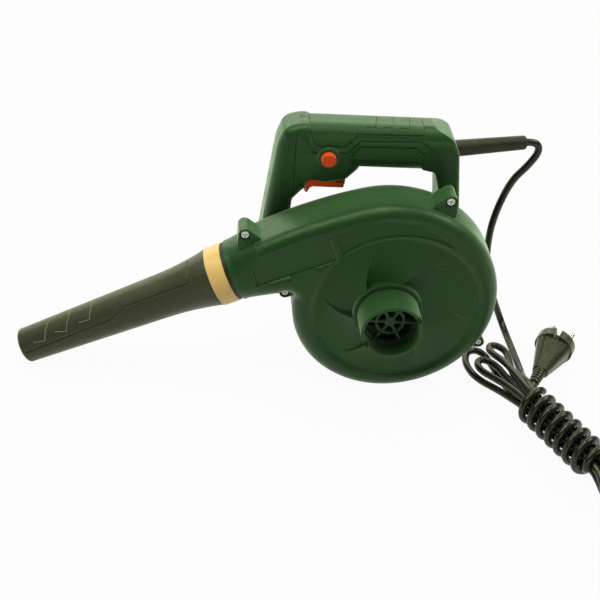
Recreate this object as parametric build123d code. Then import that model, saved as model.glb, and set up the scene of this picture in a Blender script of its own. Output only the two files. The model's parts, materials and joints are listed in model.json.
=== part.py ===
from build123d import *
import math
import os

# Frame: origin on the floor below the fan axis, nozzle towards -X, intake towards -Y, all in millimetres.
# Every piece is built about the fan axis and raised by AXIS_HEIGHT when it is written.

# Casing
CASING_TOP = 99.4
CASING_RIGHT = 95.5
CASING_BOTTOM = 88.5
CASING_LEFT = 80.5
BASE_FLAT = 0.5
HALF_DEPTH = 25.5
SHOULDER = 12.5
WALL = 2.5
TONGUE_RADIUS = 7.0
BULGE_TURN = 8.0
DISH_PLACE = (7.5, 0.3)
DISH_RADIUS = 75.0
DISH_WALL_RUN = 6.0
DISH_DEPTH = 4.0
DISH_RISE = 2.0
DISH_CONE_RADIUS = 57.0
DISH_THICKNESS = 2.8
FLUTE_COUNT = 6
FLUTE_HEIGHT = 1.0
FLUTE_END_HEIGHT = 0.4
FLUTE_MARGIN = 2.0
FLUTE_LEAD = (0.0, 20.0, 30.0)
FLUTE_TRAIL = (-3.0, 6.0, 8.0)

# Outlet duct, measured along the outlet axis from the point nearest the fan axis
NOZZLE_TILT = 27.5
OUTLET_OFFSET = 76.0
OUTLET_RADIUS = 26.5
DUCT_END = 80.0
NECK_BLEND = 24.0
INNER_BLEND = 12.0
OUTLET_END = 108.0
MOUTH_STEP = 0.2
MOUTH_LAP = 1.0

# Nozzle
SPIGOT_DEPTH = 12.0
SPIGOT_GAP = 0.3
SEAL_LENGTH = 3.5
BAND_LENGTH = 14.5
BAND_RADIUS = 25.8
BAND_WALL = 2.1
NOZZLE_ROOT_RADIUS = 25.2
NOZZLE_WAIST_RADIUS = 19.2
NOZZLE_TIP_RADIUS = 15.4
FLARE_LENGTH = 49.0
TAPER_LENGTH = 130.0
TIP_LENGTH = 2.7
NOZZLE_WALL = 2.2
TIP_BORE_LENGTH = 22.0

# Intake collar and grille
COLLAR_RADIUS = 26.3
COLLAR_WALL = 2.5
COLLAR_LENGTH = 26.0
COLLAR_FLANGE_RADIUS = 30.0
COLLAR_FLANGE_HEIGHT = 6.5
COLLAR_LEDGE = 1.5
GRILLE_INSET = 15.0
GRILLE_THICKNESS = 3.0
GRILLE_RIB = 2.0
GRILLE_SPOKES = 6
NOTCH_COUNT = 2
NOTCH_WIDTH = 9.0
NOTCH_DEPTH = 5.0
NOTCH_ANGLE = -150.0

# Fasteners
LARGE_HEAD_RADIUS = 4.0
SMALL_HEAD_RADIUS = 3.3
SCREW_HEAD = 2.6
SHANK_RADIUS = 2.0
SCREW_GAP = 0.05
HEAD_GAP = 0.4
BOSS_RADIUS = 5.6
SMALL_BOSS_RADIUS = 5.0
BOSS_FRONT = 12.0
BOSS_REAR = 6.0
BOSS_ROOT_REACH = 2.0
BOSS_ROOT_SPREAD = 1.9
TONGUE_BOSS_LIFT = 0.4
SCREW_RECESS = 3.0
LARGE_BOSSES = [(-126.0, 60.8), (38.7, 102.9)]
SMALL_BOSSES = [(-87.6, 4.2), (90.2, -40.9)]

# Motor, measured backwards from the outside of the rear casing wall
MOTOR_OPENING = 30.0
HOUSING_RADIUS = 38.0
HOUSING_WALL = 3.0
HOUSING_LENGTH = 68.0
FLANGE_RADIUS = 46.0
FLANGE_THICKNESS = 4.0
HOUSING_SCREW_COUNT = 4
CAP_LENGTH = 12.0
CAP_SPIGOT = 3.0
CAP_FACE_RADIUS = 29.0
CAP_EDGE = 1.5
CAP_SHOULDER = 3.0
CAP_HUB_WALL = 2.5
CAP_SEAT_LIP = 2.0
CAP_SLOTS = 10
CAP_SLOT_WIDTH = 3.0
FOOT_WIDTH = 60.0
FOOT_LENGTH = 26.0
FOOT_THICKNESS = 6.0
FOOT_NECK = 36.0
FOOT_WEB = 14.0
FOOT_BACK = 62.0
FRONT_BEARING_RADIUS = 11.0
FRONT_BEARING_WIDTH = 7.0
REAR_BEARING_RADIUS = 9.5
REAR_BEARING_WIDTH = 6.0
REAR_BEARING_START = 68.0
SHAFT_RADIUS = 4.0
SHAFT_TAIL_RADIUS = 3.0
RUNNING_GAP = 0.05
BRACKET_THICKNESS = 3.0
BRACKET_HUB_WALL = 3.0
BRACKET_SHAFT_GAP = 2.0
SHAFT_TIP = 2.0
FIELD_START = 15.0
FIELD_LENGTH = 31.0
FIELD_BORE = 22.0
AIR_GAP = 0.6
WINDING_LENGTH = 4.0
WINDING_MARGIN = 3.0
COIL_INNER_GAP = 2.0
COIL_OUTER_GAP = 4.0
COIL_PARTING = 16.0
COMMUTATOR_START = 54.0
COMMUTATOR_LENGTH = 10.0
COMMUTATOR_RADIUS = 11.0
BRUSH_WIDTH = 7.0
BRUSH_HEIGHT = 6.0
BRUSH_LENGTH = 15.0
BRUSH_GAP = 0.3
HOLDER_WALL = 2.0
HOLDER_START = 3.0
HOLDER_SPARE = 4.0
HOLDER_SEAT = 1.5
HOLDER_LAP = 0.5

# Impeller
IMPELLER_RADIUS = 62.0
IMPELLER_EYE = 26.0
IMPELLER_FRONT = -14.0
IMPELLER_BACK = 13.0
IMPELLER_PLATE = 2.0
HUB_RADIUS = 11.0
HUB_FRONT = -8.0
HUB_LAP = 1.0
WASHER_MARGIN = 2.0
BLADE_COUNT = 12
BLADE_THICKNESS = 1.8
BLADE_LEAN = 25.0
WASHER_THICKNESS = 1.2
NUT_HEIGHT = 6.0
NUT_FLATS = 13.0

# Handle
HANDLE_WIDTH = 36.0
GRIP_TOP = 144.0
GRIP_HEIGHT = 39.1
GRIP_ROUND = 13.0
GRIP_TILT = 1.5
GRIP_MIDDLE = -10.0
GRIP_AHEAD = 74.0
GRIP_BEHIND = 34.0
GRIP_RUN_OUT = 80.0
FRONT_LEG_ROUND = 9.0
FRONT_LEG = [
    (-110.8, 28.0), (-103.4, 122.0), (-98.0, 138.0), (-86.0, 141.9), (-77.0, 142.4), (-66.0, 126.0),
    (-38.0, 128.0), (-31.0, 106.7), (-43.0, 92.5), (-77.0, 82.0), (-85.7, 71.0), (-86.5, 28.0),
]
FRONT_LEG_CORNERS = [5.0, 40.0, 12.0, 20.0, 7.0, 12.0, 9.5, 9.5, 5.0, 8.0, 8.0, 5.0]
REAR_LEG_ROUND = 3.5
REAR_LEG = [
    (62.0, 40.0), (58.5, 70.0), (48.5, 126.0), (42.0, 137.5), (34.0, 141.6), (26.5, 144.4), (18.0, 146.4),
    (18.0, 108.5), (31.0, 106.2), (36.5, 90.0), (44.5, 40.0),
]
REAR_LEG_CORNERS = [4.0, 40.0, 12.0, 8.0, 10.0, 10.0, 4.0, 4.0, 5.0, 20.0, 4.0]
SHELL_WALL = 2.5
LEG_SCREWS = [(-99.0, 38.0), (52.5, 55.0)]
GRIP_SCREWS = [(-94.0, 118.0), (42.5, 104.0)]
COLUMN_RADIUS = 4.5
SCREW_BITE = 8.0

# Trigger and lock button
TRIGGER_WIDTH = 16.0
TRIGGER_OUTLINE = [
    (-76.0, 77.0), (-74.0, 77.0), (-70.8, 83.6), (-43.6, 84.5), (-42.3, 86.0), (-42.3, 97.5), (-66.0, 101.5),
    (-76.0, 101.5),
]
TRIGGER_CORNERS = [0.9, 0.9, 4.0, 1.0, 0.8, 1.5, 6.0, 3.0]
TRIGGER_ROUND = 0.7
TRIGGER_SLOT = (-77.2, -40.2)
TRIGGER_SLOT_RISE = (60.0, 100.0)
TRIGGER_PIN = (-71.0, 97.0)
TRIGGER_PIN_RADIUS = 2.0
TRIGGER_PIN_SPARE = 0.5
TRIGGER_EAR = 2.0
TRIGGER_GAP = 0.4
BUTTON_PLACE = (-60.7, 116.5)
BUTTON_RADIUS = 6.2
BUTTON_GAP = 0.25
BUTTON_PROUD = 6.7
BUTTON_TRAVEL = 3.5
BUTTON_FLANGE = 1.7
BUTTON_TAIL = 2.5
BUTTON_TAIL_STEP = 0.6
BUTTON_FLOOR = 1.5
BEZEL_RADIUS = 9.6
BEZEL_HEIGHT = 2.3
SOFT_EDGE = 1.0
SPRING_WIRE = 0.8
SPRING_GAP = 0.2
LOCK_SPRING_RADIUS = 3.4
LOCK_SPRING_TURNS = 5
LOCK_SPRING_GAP = 0.5
TRIGGER_SPRING_RADIUS = 3.0
TRIGGER_SPRING_TURNS = 3
TRIGGER_SPRING_X = -50.0
TRIGGER_SPRING_SEAT = 98.7
TRIGGER_SPRING_LIFT = 0.6

# Switch gear
SWITCH_LENGTH = 32.0
SWITCH_HEIGHT = 23.0
SWITCH_DEPTH = 16.0
SWITCH_LOW_CORNER = (-76.0, 103.4)
SWITCH_AHEAD = 7.0
SWITCH_RIB = (20.0, 4.0)
CAPACITOR_SIZE = (22.0, 10.0, 18.0)
CAPACITOR_PLACE = (-23.0, 125.0)
CAPACITOR_RIB = 6.0
CAPACITOR_STAND = 1.6
CLAMP_SIZE = (10.0, 3.0, 15.0)
CLAMP_X = 21.0
CLAMP_SCREW_RADIUS = 1.5
CLAMP_HEAD_RADIUS = 2.4
CLAMP_HEAD = 1.8
CLAMP_SCREW_SPREAD = 5.4
CLAMP_SCREW_BITE = 6.0
CLAMP_HOLE = 8.0

# Mains lead
CORD_RADIUS = 3.25
CORD_GAP = 0.05
GUARD_ROOT_RADIUS = 7.1
GUARD_END_RADIUS = 6.0
GUARD_FLANGE_RADIUS = 9.5
GUARD_FLANGE = 2.6
GUARD_COLLAR = 12.0
GUARD_HOLE = 30.0
GUARD_EDGE = 1.2
GUARD_AIM = (31.0, 119.4)
GUARD_LEAD = 9.0
TAIL_RISE = 13.6
TAIL_TURN = -14.0
TAIL_LEAD = 9.0
GUARD_REACH = (110.5, 10.8, 126.2)
LEAD_DROP = [
    (126.0, 56.8, 118.5), (119.5, 57.2, 103.0), (108.2, 58.5, 86.3), (102.0, 60.0, 57.5),
    (100.5, 62.0, 28.7), (105.6, 66.0, -7.1), (115.0, 70.5, -36.0), (127.0, 75.5, -60.0),
    (136.0, 75.0, -78.6), (139.5, 60.0, -84.7), (141.0, 30.0, -84.7), (142.0, 0.0, -84.7),
]

# Hank of the lead. Points are (along its axis, across it, up from it), the axis lying on the floor's side
HANK_START = (134.6, -57.5, -69.7)
HANK_HEADING = (0.461, -0.887, 0.0)
STRAND_PITCH = 7.3
STRAND_START = -2.0
STRAND_END = 80.0
WRAP_TURNS = 7
WRAP_RADIUS = 14.7
WRAP_START = (83.0, -211.6)
WRAP_END = (0.6, -320.0)
WRAP_STEP = 45.0
LEAD_IN = [(-35, 21.6, -6), (-22, 14.6, 0.6), (-11, 9.4, 3.4)]
FAR_LOOP_HIGH = [
    (92, 8.2, 3.6), (104, 13, 3), (113, 9.5, 8), (112, 1, 13), (102, -3.4, 13.2), (91, -0.8, 9.4),
]
NEAR_LOOP_RIGHT = [
    (-12, 2.8, 7), (-35, 9.3, 3.6), (-56, 15.2, -0.6), (-70, 14.6, -3.2), (-80, 17, -4.6),
    (-84.5, 23.6, -5.6), (-80.5, 30.4, -6.4), (-70, 32, -6.6), (-54, 22.5, -7), (-35, 13.4, -7.2),
    (-12, 8.8, -5.2),
]
FAR_LOOP_MIDDLE = [
    (91, 8.6, -4.8), (101, 13.4, -7.6), (111, 14, -6.4), (117, 8.5, -2.6), (114, 1, 0.8), (104, -1.6, 2.2),
    (92, 0.2, 1),
]
NEAR_LOOP_MIDDLE = [
    (-12, 1.2, -1), (-30, 4.4, -3.6), (-46, 6.6, -4.6), (-56, 8.2, -4.8), (-65.8, 6, -4.8), (-71, -1, -4.6),
    (-65.8, -8, -4.4), (-56, -10.2, -3.8), (-44, -8, -2.2), (-28, -5, -0.2), (-12, -5.8, 2.8),
]
FAR_LOOP_LONG = [
    (88, -6.3, 3.6), (98, -8.2, 1.6), (112, -14, -6), (125, -19, -12.4), (137, -21.5, -14.7),
    (145.5, -19.4, -14.7), (150, -12.5, -14.7), (145.5, -5.6, -14.7), (136, -3.4, -14.7), (121, -6.5, -14.7),
    (105, -6, -13.8), (92, -1.6, -10.4),
]
NEAR_LOOP_LEFT = [
    (-14, 0.4, -8.8), (-34, 3.2, -11.4), (-56, 9.5, -13), (-72, 14.6, -14.2), (-84, 17.5, -14.7),
    (-92.5, 14.5, -14.7), (-94, 6, -14.7), (-87.5, -3, -14.7), (-75, -9.5, -14.7), (-57, -12.5, -13.2),
    (-34, -7.2, -10), (-14, -6.8, -5.8),
]
LAST_STRAND_END = 71.9
WRAP_LEAD_IN = [(79.2, -7.4, -4.9), (85.4, -12.9, 0)]
PLUG_LEAD = [(-4.8, 15.4, 3), (-13, 18.4, -4), (-20, 22.4, -7.6), (-26.3, 28, -8.2)]
LEAST_GAP_SPACING = 3.0
GAP_SAMPLES = 6

# Plug
PLUG_AXIS = (0.533, 0.832, 0.153)
PLUG_RADIUS = 18.1
PLUG_FACE_THICKNESS = 9.0
PLUG_BODY_LENGTH = 34.0
PLUG_BODY_START = (14.0, 12.0, 4.0)
PLUG_BODY_END = (33.0, 27.0, 9.0)
PLUG_NOTCH_WIDTH = 6.0
PLUG_NOTCH_DEPTH = 8.0
PLUG_RELIEF_LENGTH = 16.0
PLUG_RELIEF_START = 4.7
PLUG_RELIEF_END = 6.0
PLUG_RELIEF_GROOVES = 4
PLUG_RELIEF_GROOVE_DEPTH = 0.9
PLUG_PIN_RADIUS = 2.4
PLUG_PIN_LENGTH = 19.0
PLUG_PIN_SEAT = 6.0
PLUG_PIN_SPACING = 19.0
PLUG_PIN_ROUND = 1.44

# Cutting allowances
OVERCUT = 1.0
BEYOND = 400.0
FLATNESS = 0.001

# Places worked out from the sizes above
AXIS_HEIGHT = CASING_BOTTOM - BASE_FLAT
FLOOR = -AXIS_HEIGHT
FRONT_FACE = -HALF_DEPTH
BACK = HALF_DEPTH
HANDLE_FRONT = BACK
HANDLE_BACK = BACK + HANDLE_WIDTH
HANDLE_MID = BACK + HANDLE_WIDTH / 2
SHELL_ROOT = HANDLE_BACK - OVERCUT
CAPACITOR_BACK = HANDLE_BACK - SHELL_WALL - CAPACITOR_STAND
SWITCH_FRONT = HANDLE_MID - SWITCH_AHEAD
TAIL_HEIGHT = SWITCH_LOW_CORNER[1] + TAIL_RISE
NECK_BORE = OUTLET_RADIUS - WALL
BAND_START = OUTLET_END + SEAL_LENGTH + SPIGOT_GAP
NOZZLE_START = BAND_START + BAND_LENGTH
NOZZLE_END = NOZZLE_START + FLARE_LENGTH + TAPER_LENGTH + TIP_LENGTH
COLLAR_SEAT = FRONT_FACE + DISH_DEPTH - DISH_RISE
COLLAR_RIM = COLLAR_SEAT - COLLAR_FLANGE_HEIGHT - COLLAR_LENGTH
COLLAR_BORE = COLLAR_RADIUS - COLLAR_WALL
DISH_FLOOR = FRONT_FACE + DISH_DEPTH
DISH_BACK = DISH_FLOOR + DISH_THICKNESS
HOUSING_BORE = HOUSING_RADIUS - HOUSING_WALL
HOUSING_END = BACK + HOUSING_LENGTH
TILT = math.radians(NOZZLE_TILT)
ALONG = Vector(-math.cos(TILT), -math.sin(TILT))
ACROSS = Vector(-math.sin(TILT), math.cos(TILT))
FAN_PLANE = Plane(origin=(0, 0, 0), x_dir=(1, 0, 0), z_dir=(0, 1, 0))
HANK_ALONG = Vector(*HANK_HEADING).normalized()
HANK_ACROSS = Vector(0, 0, 1).cross(HANK_ALONG)
PLUG_HEADING = Vector(*PLUG_AXIS).normalized()


def bar(x, z, near, far, radius):
    """Round bar along Y."""
    return Pos(x, (near + far) / 2, z) * Rot(90, 0, 0) * Cylinder(radius, far - near)


def block(x_range, y_range, z_range):
    """Box between two corners."""
    size = [high - low for low, high in (x_range, y_range, z_range)]
    middle = [(high + low) / 2 for low, high in (x_range, y_range, z_range)]
    return Pos(*middle) * Box(*size)


def slab(face, near, far):
    """Outline drawn in X and Z, extruded along Y."""
    return extrude(Plane.XZ.offset(-far) * face, far - near)


def rims(body):
    """Edges that lie square to Y."""
    return [edge for edge in body.edges() if edge.bounding_box().size.Y < FLATNESS]


def turned(profile, plane):
    """Outline of (radius, station) points turned about the plane's normal."""
    return plane * revolve(Plane.XZ * make_face(Polyline(*profile, close=True)), Axis.Z)


def ring(inner, outer, near, far):
    """Plain ring about the fan axis."""
    return turned([(inner, near), (outer, near), (outer, far), (inner, far)], FAN_PLANE)


def outlet_point(station, rise):
    """Point in the seam plane, at a station along the outlet axis and a rise above it."""
    return ACROSS * (OUTLET_OFFSET + rise) + ALONG * station


def outlet_plane(station):
    """Plane square to the outlet axis, with its first axis along Y."""
    spot = outlet_point(station, 0)
    return Plane(origin=(spot.X, 0, spot.Y), x_dir=(0, 1, 0), z_dir=(ALONG.X, 0, ALONG.Y))


def arc(centre, radius, first, last):
    """Arc between two angles in degrees."""
    angles = [math.radians(value) for value in (first, (first + last) / 2, last)]
    return ThreePointArc(*[centre + Vector(math.cos(a), math.sin(a)) * radius for a in angles])


def screw(head_radius, head_height, shank_radius, length):
    """Pan-head screw with a cross recess, its head's underside at the origin and its shank along +Z."""
    head = Pos(0, 0, -head_height / 2) * Cylinder(head_radius, head_height)
    head = chamfer(head.edges().group_by(Axis.Z)[0], head_height / 3)
    slot = Pos(0, 0, -head_height) * Box(head_radius * 1.2, head_radius * 0.25, head_height)
    body = head + Pos(0, 0, length / 2) * Cylinder(shank_radius, length)
    return body - slot - Rot(0, 0, 90) * slot


def screw_from_front(x, y, z, head_radius, length):
    return Pos(x, y, z) * Rot(-90, 0, 0) * screw(head_radius, SCREW_HEAD, SHANK_RADIUS, length)


def screw_from_back(x, y, z, head_radius, length):
    return Pos(x, y, z) * Rot(90, 0, 0) * screw(head_radius, SCREW_HEAD, SHANK_RADIUS, length)


def tangent_piece(start, heading, finish):
    """Arc from start, leaving along heading, or a straight run where that leads to finish."""
    chord = (finish - start).normalized()
    if chord.dot(heading) > 1 - 1e-9:
        return Line(start, finish)
    return TangentArc(start, finish, tangent=heading)


def biarc(start, heading, finish, leaving):
    """Two tangent pieces from one point and heading to the next."""
    chord = finish - start
    along = chord.dot(heading + leaving)
    slack = 2 * (1 - heading.dot(leaving))
    if slack < 1e-9:
        reach = chord.dot(chord) / (2 * along)
    else:
        reach = (-along + math.sqrt(along * along + slack * chord.dot(chord))) / slack
    middle = (start + heading * reach + finish - leaving * reach) * 0.5
    first_chord = (middle - start).normalized()
    turning = first_chord * (2 * first_chord.dot(heading)) - heading
    return [tangent_piece(start, heading, middle), tangent_piece(middle, turning, finish)]


def smooth_path(stations):
    """Biarcs through (point, heading) stations, an open heading being that of the circle through three."""
    headings = []
    for index, (point, heading) in enumerate(stations):
        if heading is None:
            before = point - stations[index - 1][0]
            after = stations[index + 1][0] - point
            heading = before * (after.length / before.length) + after * (before.length / after.length)
        headings.append(heading.normalized())
    edges = []
    for index in range(len(stations) - 1):
        edges += biarc(stations[index][0], headings[index], stations[index + 1][0], headings[index + 1])
    return edges


def tube(edges, radius):
    """Round tube along joined edges."""
    path = Wire(edges)
    return sweep(Plane(path @ 0, z_dir=path % 0) * Circle(radius), path)


def spring(base, direction, side, radius, height, turns):
    """Coil spring of quarter-turn biarcs, standing on base."""
    third = direction.cross(side)
    stations = []
    for step in range(turns * 4 + 1):
        angle = step * math.pi / 2
        spoke = side * math.cos(angle) + third * math.sin(angle)
        turning = third * math.cos(angle) - side * math.sin(angle)
        place = base + spoke * radius + direction * (height * step / (turns * 4))
        stations.append((place, turning * (radius * 2 * math.pi * turns) + direction * height))
    return tube(smooth_path(stations), SPRING_WIRE / 2)


def casing_face(inset):
    """Volute and duct outline, every edge moved in by inset. The volute is three tangent arcs."""
    step = (CASING_TOP + CASING_BOTTOM - CASING_RIGHT - CASING_LEFT) / 2
    top_radius = (CASING_TOP + CASING_BOTTOM + step) / 2
    right_radius = top_radius - step
    left_radius = right_radius - step
    top_centre = Vector(CASING_RIGHT - top_radius, CASING_TOP - top_radius)
    right_centre = Vector(CASING_RIGHT - right_radius, top_centre.Y)
    left_centre = Vector(right_centre.X, left_radius - CASING_BOTTOM)
    duct_top = outlet_point(DUCT_END, OUTLET_RADIUS - inset)
    duct_low = outlet_point(DUCT_END, inset - OUTLET_RADIUS)
    lead = duct_top - top_centre
    touch = math.atan2(lead.Y, lead.X) - math.acos((top_radius - inset) / lead.length)
    base = ACROSS * (OUTLET_OFFSET - OUTLET_RADIUS + inset) - left_centre
    half = base.dot(ALONG)
    cross_station = -half + math.sqrt(half * half - base.dot(base) + (left_radius - inset) ** 2)
    tongue = base + ALONG * cross_station
    tongue_angle = math.degrees(math.atan2(tongue.Y, tongue.X))
    corner = left_centre + tongue
    top_arc = arc(top_centre, top_radius - inset, 0, math.degrees(touch) - BULGE_TURN)
    edges = [
        Line(duct_low, corner),
        arc(left_centre, left_radius - inset, tongue_angle, 270),
        arc(right_centre, right_radius - inset, 270, 360),
        top_arc,
        TangentArc(top_arc @ 1, duct_top, tangent=top_arc % 1),
        Line(duct_top, duct_low),
    ]
    face = make_face(edges)
    return fillet(face.vertices().sort_by_distance(Vector(corner.X, corner.Y, 0))[0], TONGUE_RADIUS + inset)


def rounded_casing(inset):
    """Casing outline as a thick slab whose front and back rims are rounded."""
    depth = HALF_DEPTH - inset
    body = slab(casing_face(inset), -depth, depth)
    spot = outlet_point(DUCT_END, 0)
    mouth = Vector(spot.X, 0, spot.Y)
    rounded = []
    for edge in rims(body):
        away = edge.center() - mouth
        if Vector(away.X, 0, away.Z).length > MOUTH_LAP:
            rounded.append(edge)
    return fillet(rounded, SHOULDER - inset)


def duct_blend(inset, length, mouth_radius):
    """Duct section changing from a shade under the casing's rounded oblong to a circle."""
    shrink = 2 * (inset + MOUTH_STEP)
    first = RectangleRounded(2 * HALF_DEPTH - shrink, 2 * OUTLET_RADIUS - shrink, SHOULDER - shrink / 2)
    last = Circle(mouth_radius)
    return loft([outlet_plane(DUCT_END - MOUTH_LAP) * first, outlet_plane(DUCT_END + length) * last])


def outlet_tube(radius, first, last):
    return outlet_plane((first + last) / 2) * Cylinder(radius, last - first)


def boss(x, z, radius, towards):
    """Screw boss with straight flanks that run into the casing wall."""
    root = Vector(x, z) + towards * (BOSS_ROOT_REACH * radius)
    outline = (Pos(x, z) * Circle(radius)).edges()
    outline += (Pos(root.X, root.Y) * Circle(radius * BOSS_ROOT_SPREAD)).edges()
    return slab(make_hull(outline), -BOSS_FRONT, BOSS_REAR)


def boss_list():
    """Each boss as its place, size, head size and the way to its casing wall."""
    inward = []
    for x, z in LARGE_BOSSES + SMALL_BOSSES:
        inward.append(Vector(-x, -z).normalized())
    inward[0] = ACROSS * -1
    inward[2] = (ALONG * -1 + ACROSS * TONGUE_BOSS_LIFT).normalized()
    rows = []
    for index, (x, z) in enumerate(LARGE_BOSSES):
        rows.append((x, z, BOSS_RADIUS, LARGE_HEAD_RADIUS, inward[index]))
    for index, (x, z) in enumerate(SMALL_BOSSES):
        rows.append((x, z, SMALL_BOSS_RADIUS, SMALL_HEAD_RADIUS, inward[index + len(LARGE_BOSSES)]))
    return rows


def casing_halves():
    """Front and rear halves of the volute casing, parted in the seam plane."""
    outer = rounded_casing(0) + duct_blend(0, NECK_BLEND, OUTLET_RADIUS)
    outer += outlet_tube(OUTLET_RADIUS, DUCT_END + NECK_BLEND, OUTLET_END)
    for x, z, radius, head_radius, towards in boss_list():
        outer += boss(x, z, radius, towards)
    cavity = rounded_casing(WALL) + duct_blend(WALL, INNER_BLEND, NECK_BORE)
    cavity += outlet_tube(NECK_BORE, DUCT_END + INNER_BLEND, OUTLET_END + WALL)
    across = (-BEYOND, BEYOND)
    shell = outer - cavity - block(across, across, (-BEYOND, FLOOR))
    front = shell - block(across, (0, BEYOND), across)
    rear = shell - block(across, (-BEYOND, 0), across)
    for x, z, radius, head_radius, towards in boss_list():
        front -= bar(x, z, -BOSS_FRONT - OVERCUT, -BOSS_FRONT + SCREW_RECESS, head_radius + HEAD_GAP)
        front -= bar(x, z, -BOSS_FRONT, 0, SHANK_RADIUS + SCREW_GAP)
        rear -= bar(x, z, 0, BOSS_REAR - WALL / 2, SHANK_RADIUS + SCREW_GAP)
    return front, rear


def flute(index):
    """One raised swirl blade on the dish floor, curved on both flanks and fading outwards."""
    turn = 360 / FLUTE_COUNT * index
    inner = COLLAR_FLANGE_RADIUS + FLUTE_MARGIN
    outer = DISH_CONE_RADIUS - FLUTE_MARGIN
    middle = (inner + outer) / 2
    lead = []
    trail = []
    for radius, lead_angle, trail_angle in zip((inner, middle, outer), FLUTE_LEAD, FLUTE_TRAIL):
        lead.append(Vector(radius, 0).rotate(Axis.Z, lead_angle + turn))
        trail.append(Vector(radius, 0).rotate(Axis.Z, trail_angle + turn))
    edges = [
        ThreePointArc(*lead),
        Line(lead[2], trail[2]),
        ThreePointArc(trail[2], trail[1], trail[0]),
        Line(trail[0], lead[0]),
    ]
    root = DISH_BACK - DISH_THICKNESS / 2
    band = [
        (COLLAR_FLANGE_RADIUS, COLLAR_SEAT - FLUTE_HEIGHT),
        (DISH_CONE_RADIUS, DISH_FLOOR - FLUTE_END_HEIGHT),
        (DISH_CONE_RADIUS, root),
        (COLLAR_FLANGE_RADIUS, root),
    ]
    return slab(make_face(edges), FRONT_FACE, root) & turned(band, FAN_PLANE)


def front_casing(half):
    """Front half with its recessed dish, swirl blades and the hole for the intake collar."""
    dish = [
        (0, FRONT_FACE - WALL),
        (DISH_RADIUS + DISH_WALL_RUN / 2, FRONT_FACE - WALL),
        (DISH_RADIUS, FRONT_FACE),
        (DISH_RADIUS - DISH_WALL_RUN, DISH_FLOOR),
        (0, DISH_FLOOR),
    ]
    cone = [
        (COLLAR_RADIUS - OVERCUT, COLLAR_SEAT),
        (COLLAR_FLANGE_RADIUS, COLLAR_SEAT),
        (DISH_CONE_RADIUS, DISH_FLOOR),
        (DISH_CONE_RADIUS, DISH_FLOOR + OVERCUT),
        (COLLAR_RADIUS - OVERCUT, DISH_FLOOR + OVERCUT),
    ]
    x, z = DISH_PLACE
    body = half + bar(x, z, FRONT_FACE + WALL / 2, DISH_BACK, DISH_RADIUS + WALL)
    body -= Pos(x, 0, z) * turned(dish, FAN_PLANE)
    body += turned(cone, FAN_PLANE)
    for index in range(FLUTE_COUNT):
        body += flute(index)
    return body - bar(0, 0, FRONT_FACE - OVERCUT, DISH_BACK + OVERCUT, COLLAR_RADIUS + SCREW_GAP)


def housing_screw_places():
    places = []
    for index in range(HOUSING_SCREW_COUNT):
        angle = math.radians(45 + 360 / HOUSING_SCREW_COUNT * index)
        radius = (FLANGE_RADIUS + HOUSING_RADIUS) / 2
        places.append((radius * math.cos(angle), radius * math.sin(angle)))
    return places


def rear_casing(half):
    """Rear half with the motor opening and the pillars that take the handle and housing screws."""
    body = half - bar(0, 0, 0, BACK + OVERCUT, MOTOR_OPENING)
    for x, z in LEG_SCREWS + housing_screw_places():
        body += bar(x, z, BACK - WALL - SCREW_BITE, BACK - WALL, COLUMN_RADIUS)
        body -= bar(x, z, BACK - SCREW_BITE, BACK, SHANK_RADIUS + SCREW_GAP)
    return body


def casing_screws(places, head_radius):
    screws = []
    seat = -BOSS_FRONT + SCREW_RECESS
    length = BOSS_REAR - WALL - seat
    for x, z in places:
        screws.append(screw_from_front(x, seat, z, head_radius, length))
    return Compound(screws)


def intake_collar():
    """Stepped collar round the intake with bayonet notches in its rim and a ledge for the grille."""
    flange_front = COLLAR_SEAT - COLLAR_FLANGE_HEIGHT
    ledge_front = COLLAR_RIM + GRILLE_INSET + GRILLE_THICKNESS
    profile = [
        (COLLAR_BORE, COLLAR_RIM),
        (COLLAR_RADIUS, COLLAR_RIM),
        (COLLAR_RADIUS, flange_front),
        (COLLAR_FLANGE_RADIUS, flange_front),
        (COLLAR_FLANGE_RADIUS, COLLAR_SEAT),
        (COLLAR_RADIUS, COLLAR_SEAT),
        (COLLAR_RADIUS, DISH_BACK),
        (COLLAR_BORE, DISH_BACK),
        (COLLAR_BORE, ledge_front + WALL),
        (COLLAR_BORE - COLLAR_LEDGE, ledge_front + WALL),
        (COLLAR_BORE - COLLAR_LEDGE, ledge_front),
        (COLLAR_BORE, ledge_front),
    ]
    body = turned(profile, FAN_PLANE)
    for index in range(NOTCH_COUNT):
        cut = block((COLLAR_BORE - WALL, COLLAR_RADIUS + WALL),
                    (COLLAR_RIM - OVERCUT, COLLAR_RIM + NOTCH_DEPTH),
                    (-NOTCH_WIDTH / 2, NOTCH_WIDTH / 2))
        body -= Rot(0, -NOTCH_ANGLE - 360 / NOTCH_COUNT * index, 0) * cut
    return body


def intake_grille():
    """Round guard of rings and spokes that rests on the collar's ledge."""
    near = COLLAR_RIM + GRILLE_INSET
    far = near + GRILLE_THICKNESS
    outer = COLLAR_BORE - SCREW_GAP
    body = ring(outer - GRILLE_RIB, outer, near, far)
    body += ring(outer / 2 - GRILLE_RIB / 2, outer / 2 + GRILLE_RIB / 2, near, far)
    body += bar(0, 0, near, far, outer / 5)
    for index in range(GRILLE_SPOKES):
        spoke = block((0, outer - GRILLE_RIB / 2), (near, far), (-GRILLE_RIB / 2, GRILLE_RIB / 2))
        body += Rot(0, 360 / GRILLE_SPOKES * index, 0) * spoke
    return body


def nozzle_seal():
    """Ring that closes the joint between the neck and the nozzle band."""
    bore = NECK_BORE
    profile = [(bore, OUTLET_END), (BAND_RADIUS - 0.6, OUTLET_END),
               (BAND_RADIUS - 0.6, OUTLET_END + SEAL_LENGTH), (bore, OUTLET_END + SEAL_LENGTH)]
    return turned(profile, outlet_plane(0))


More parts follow.
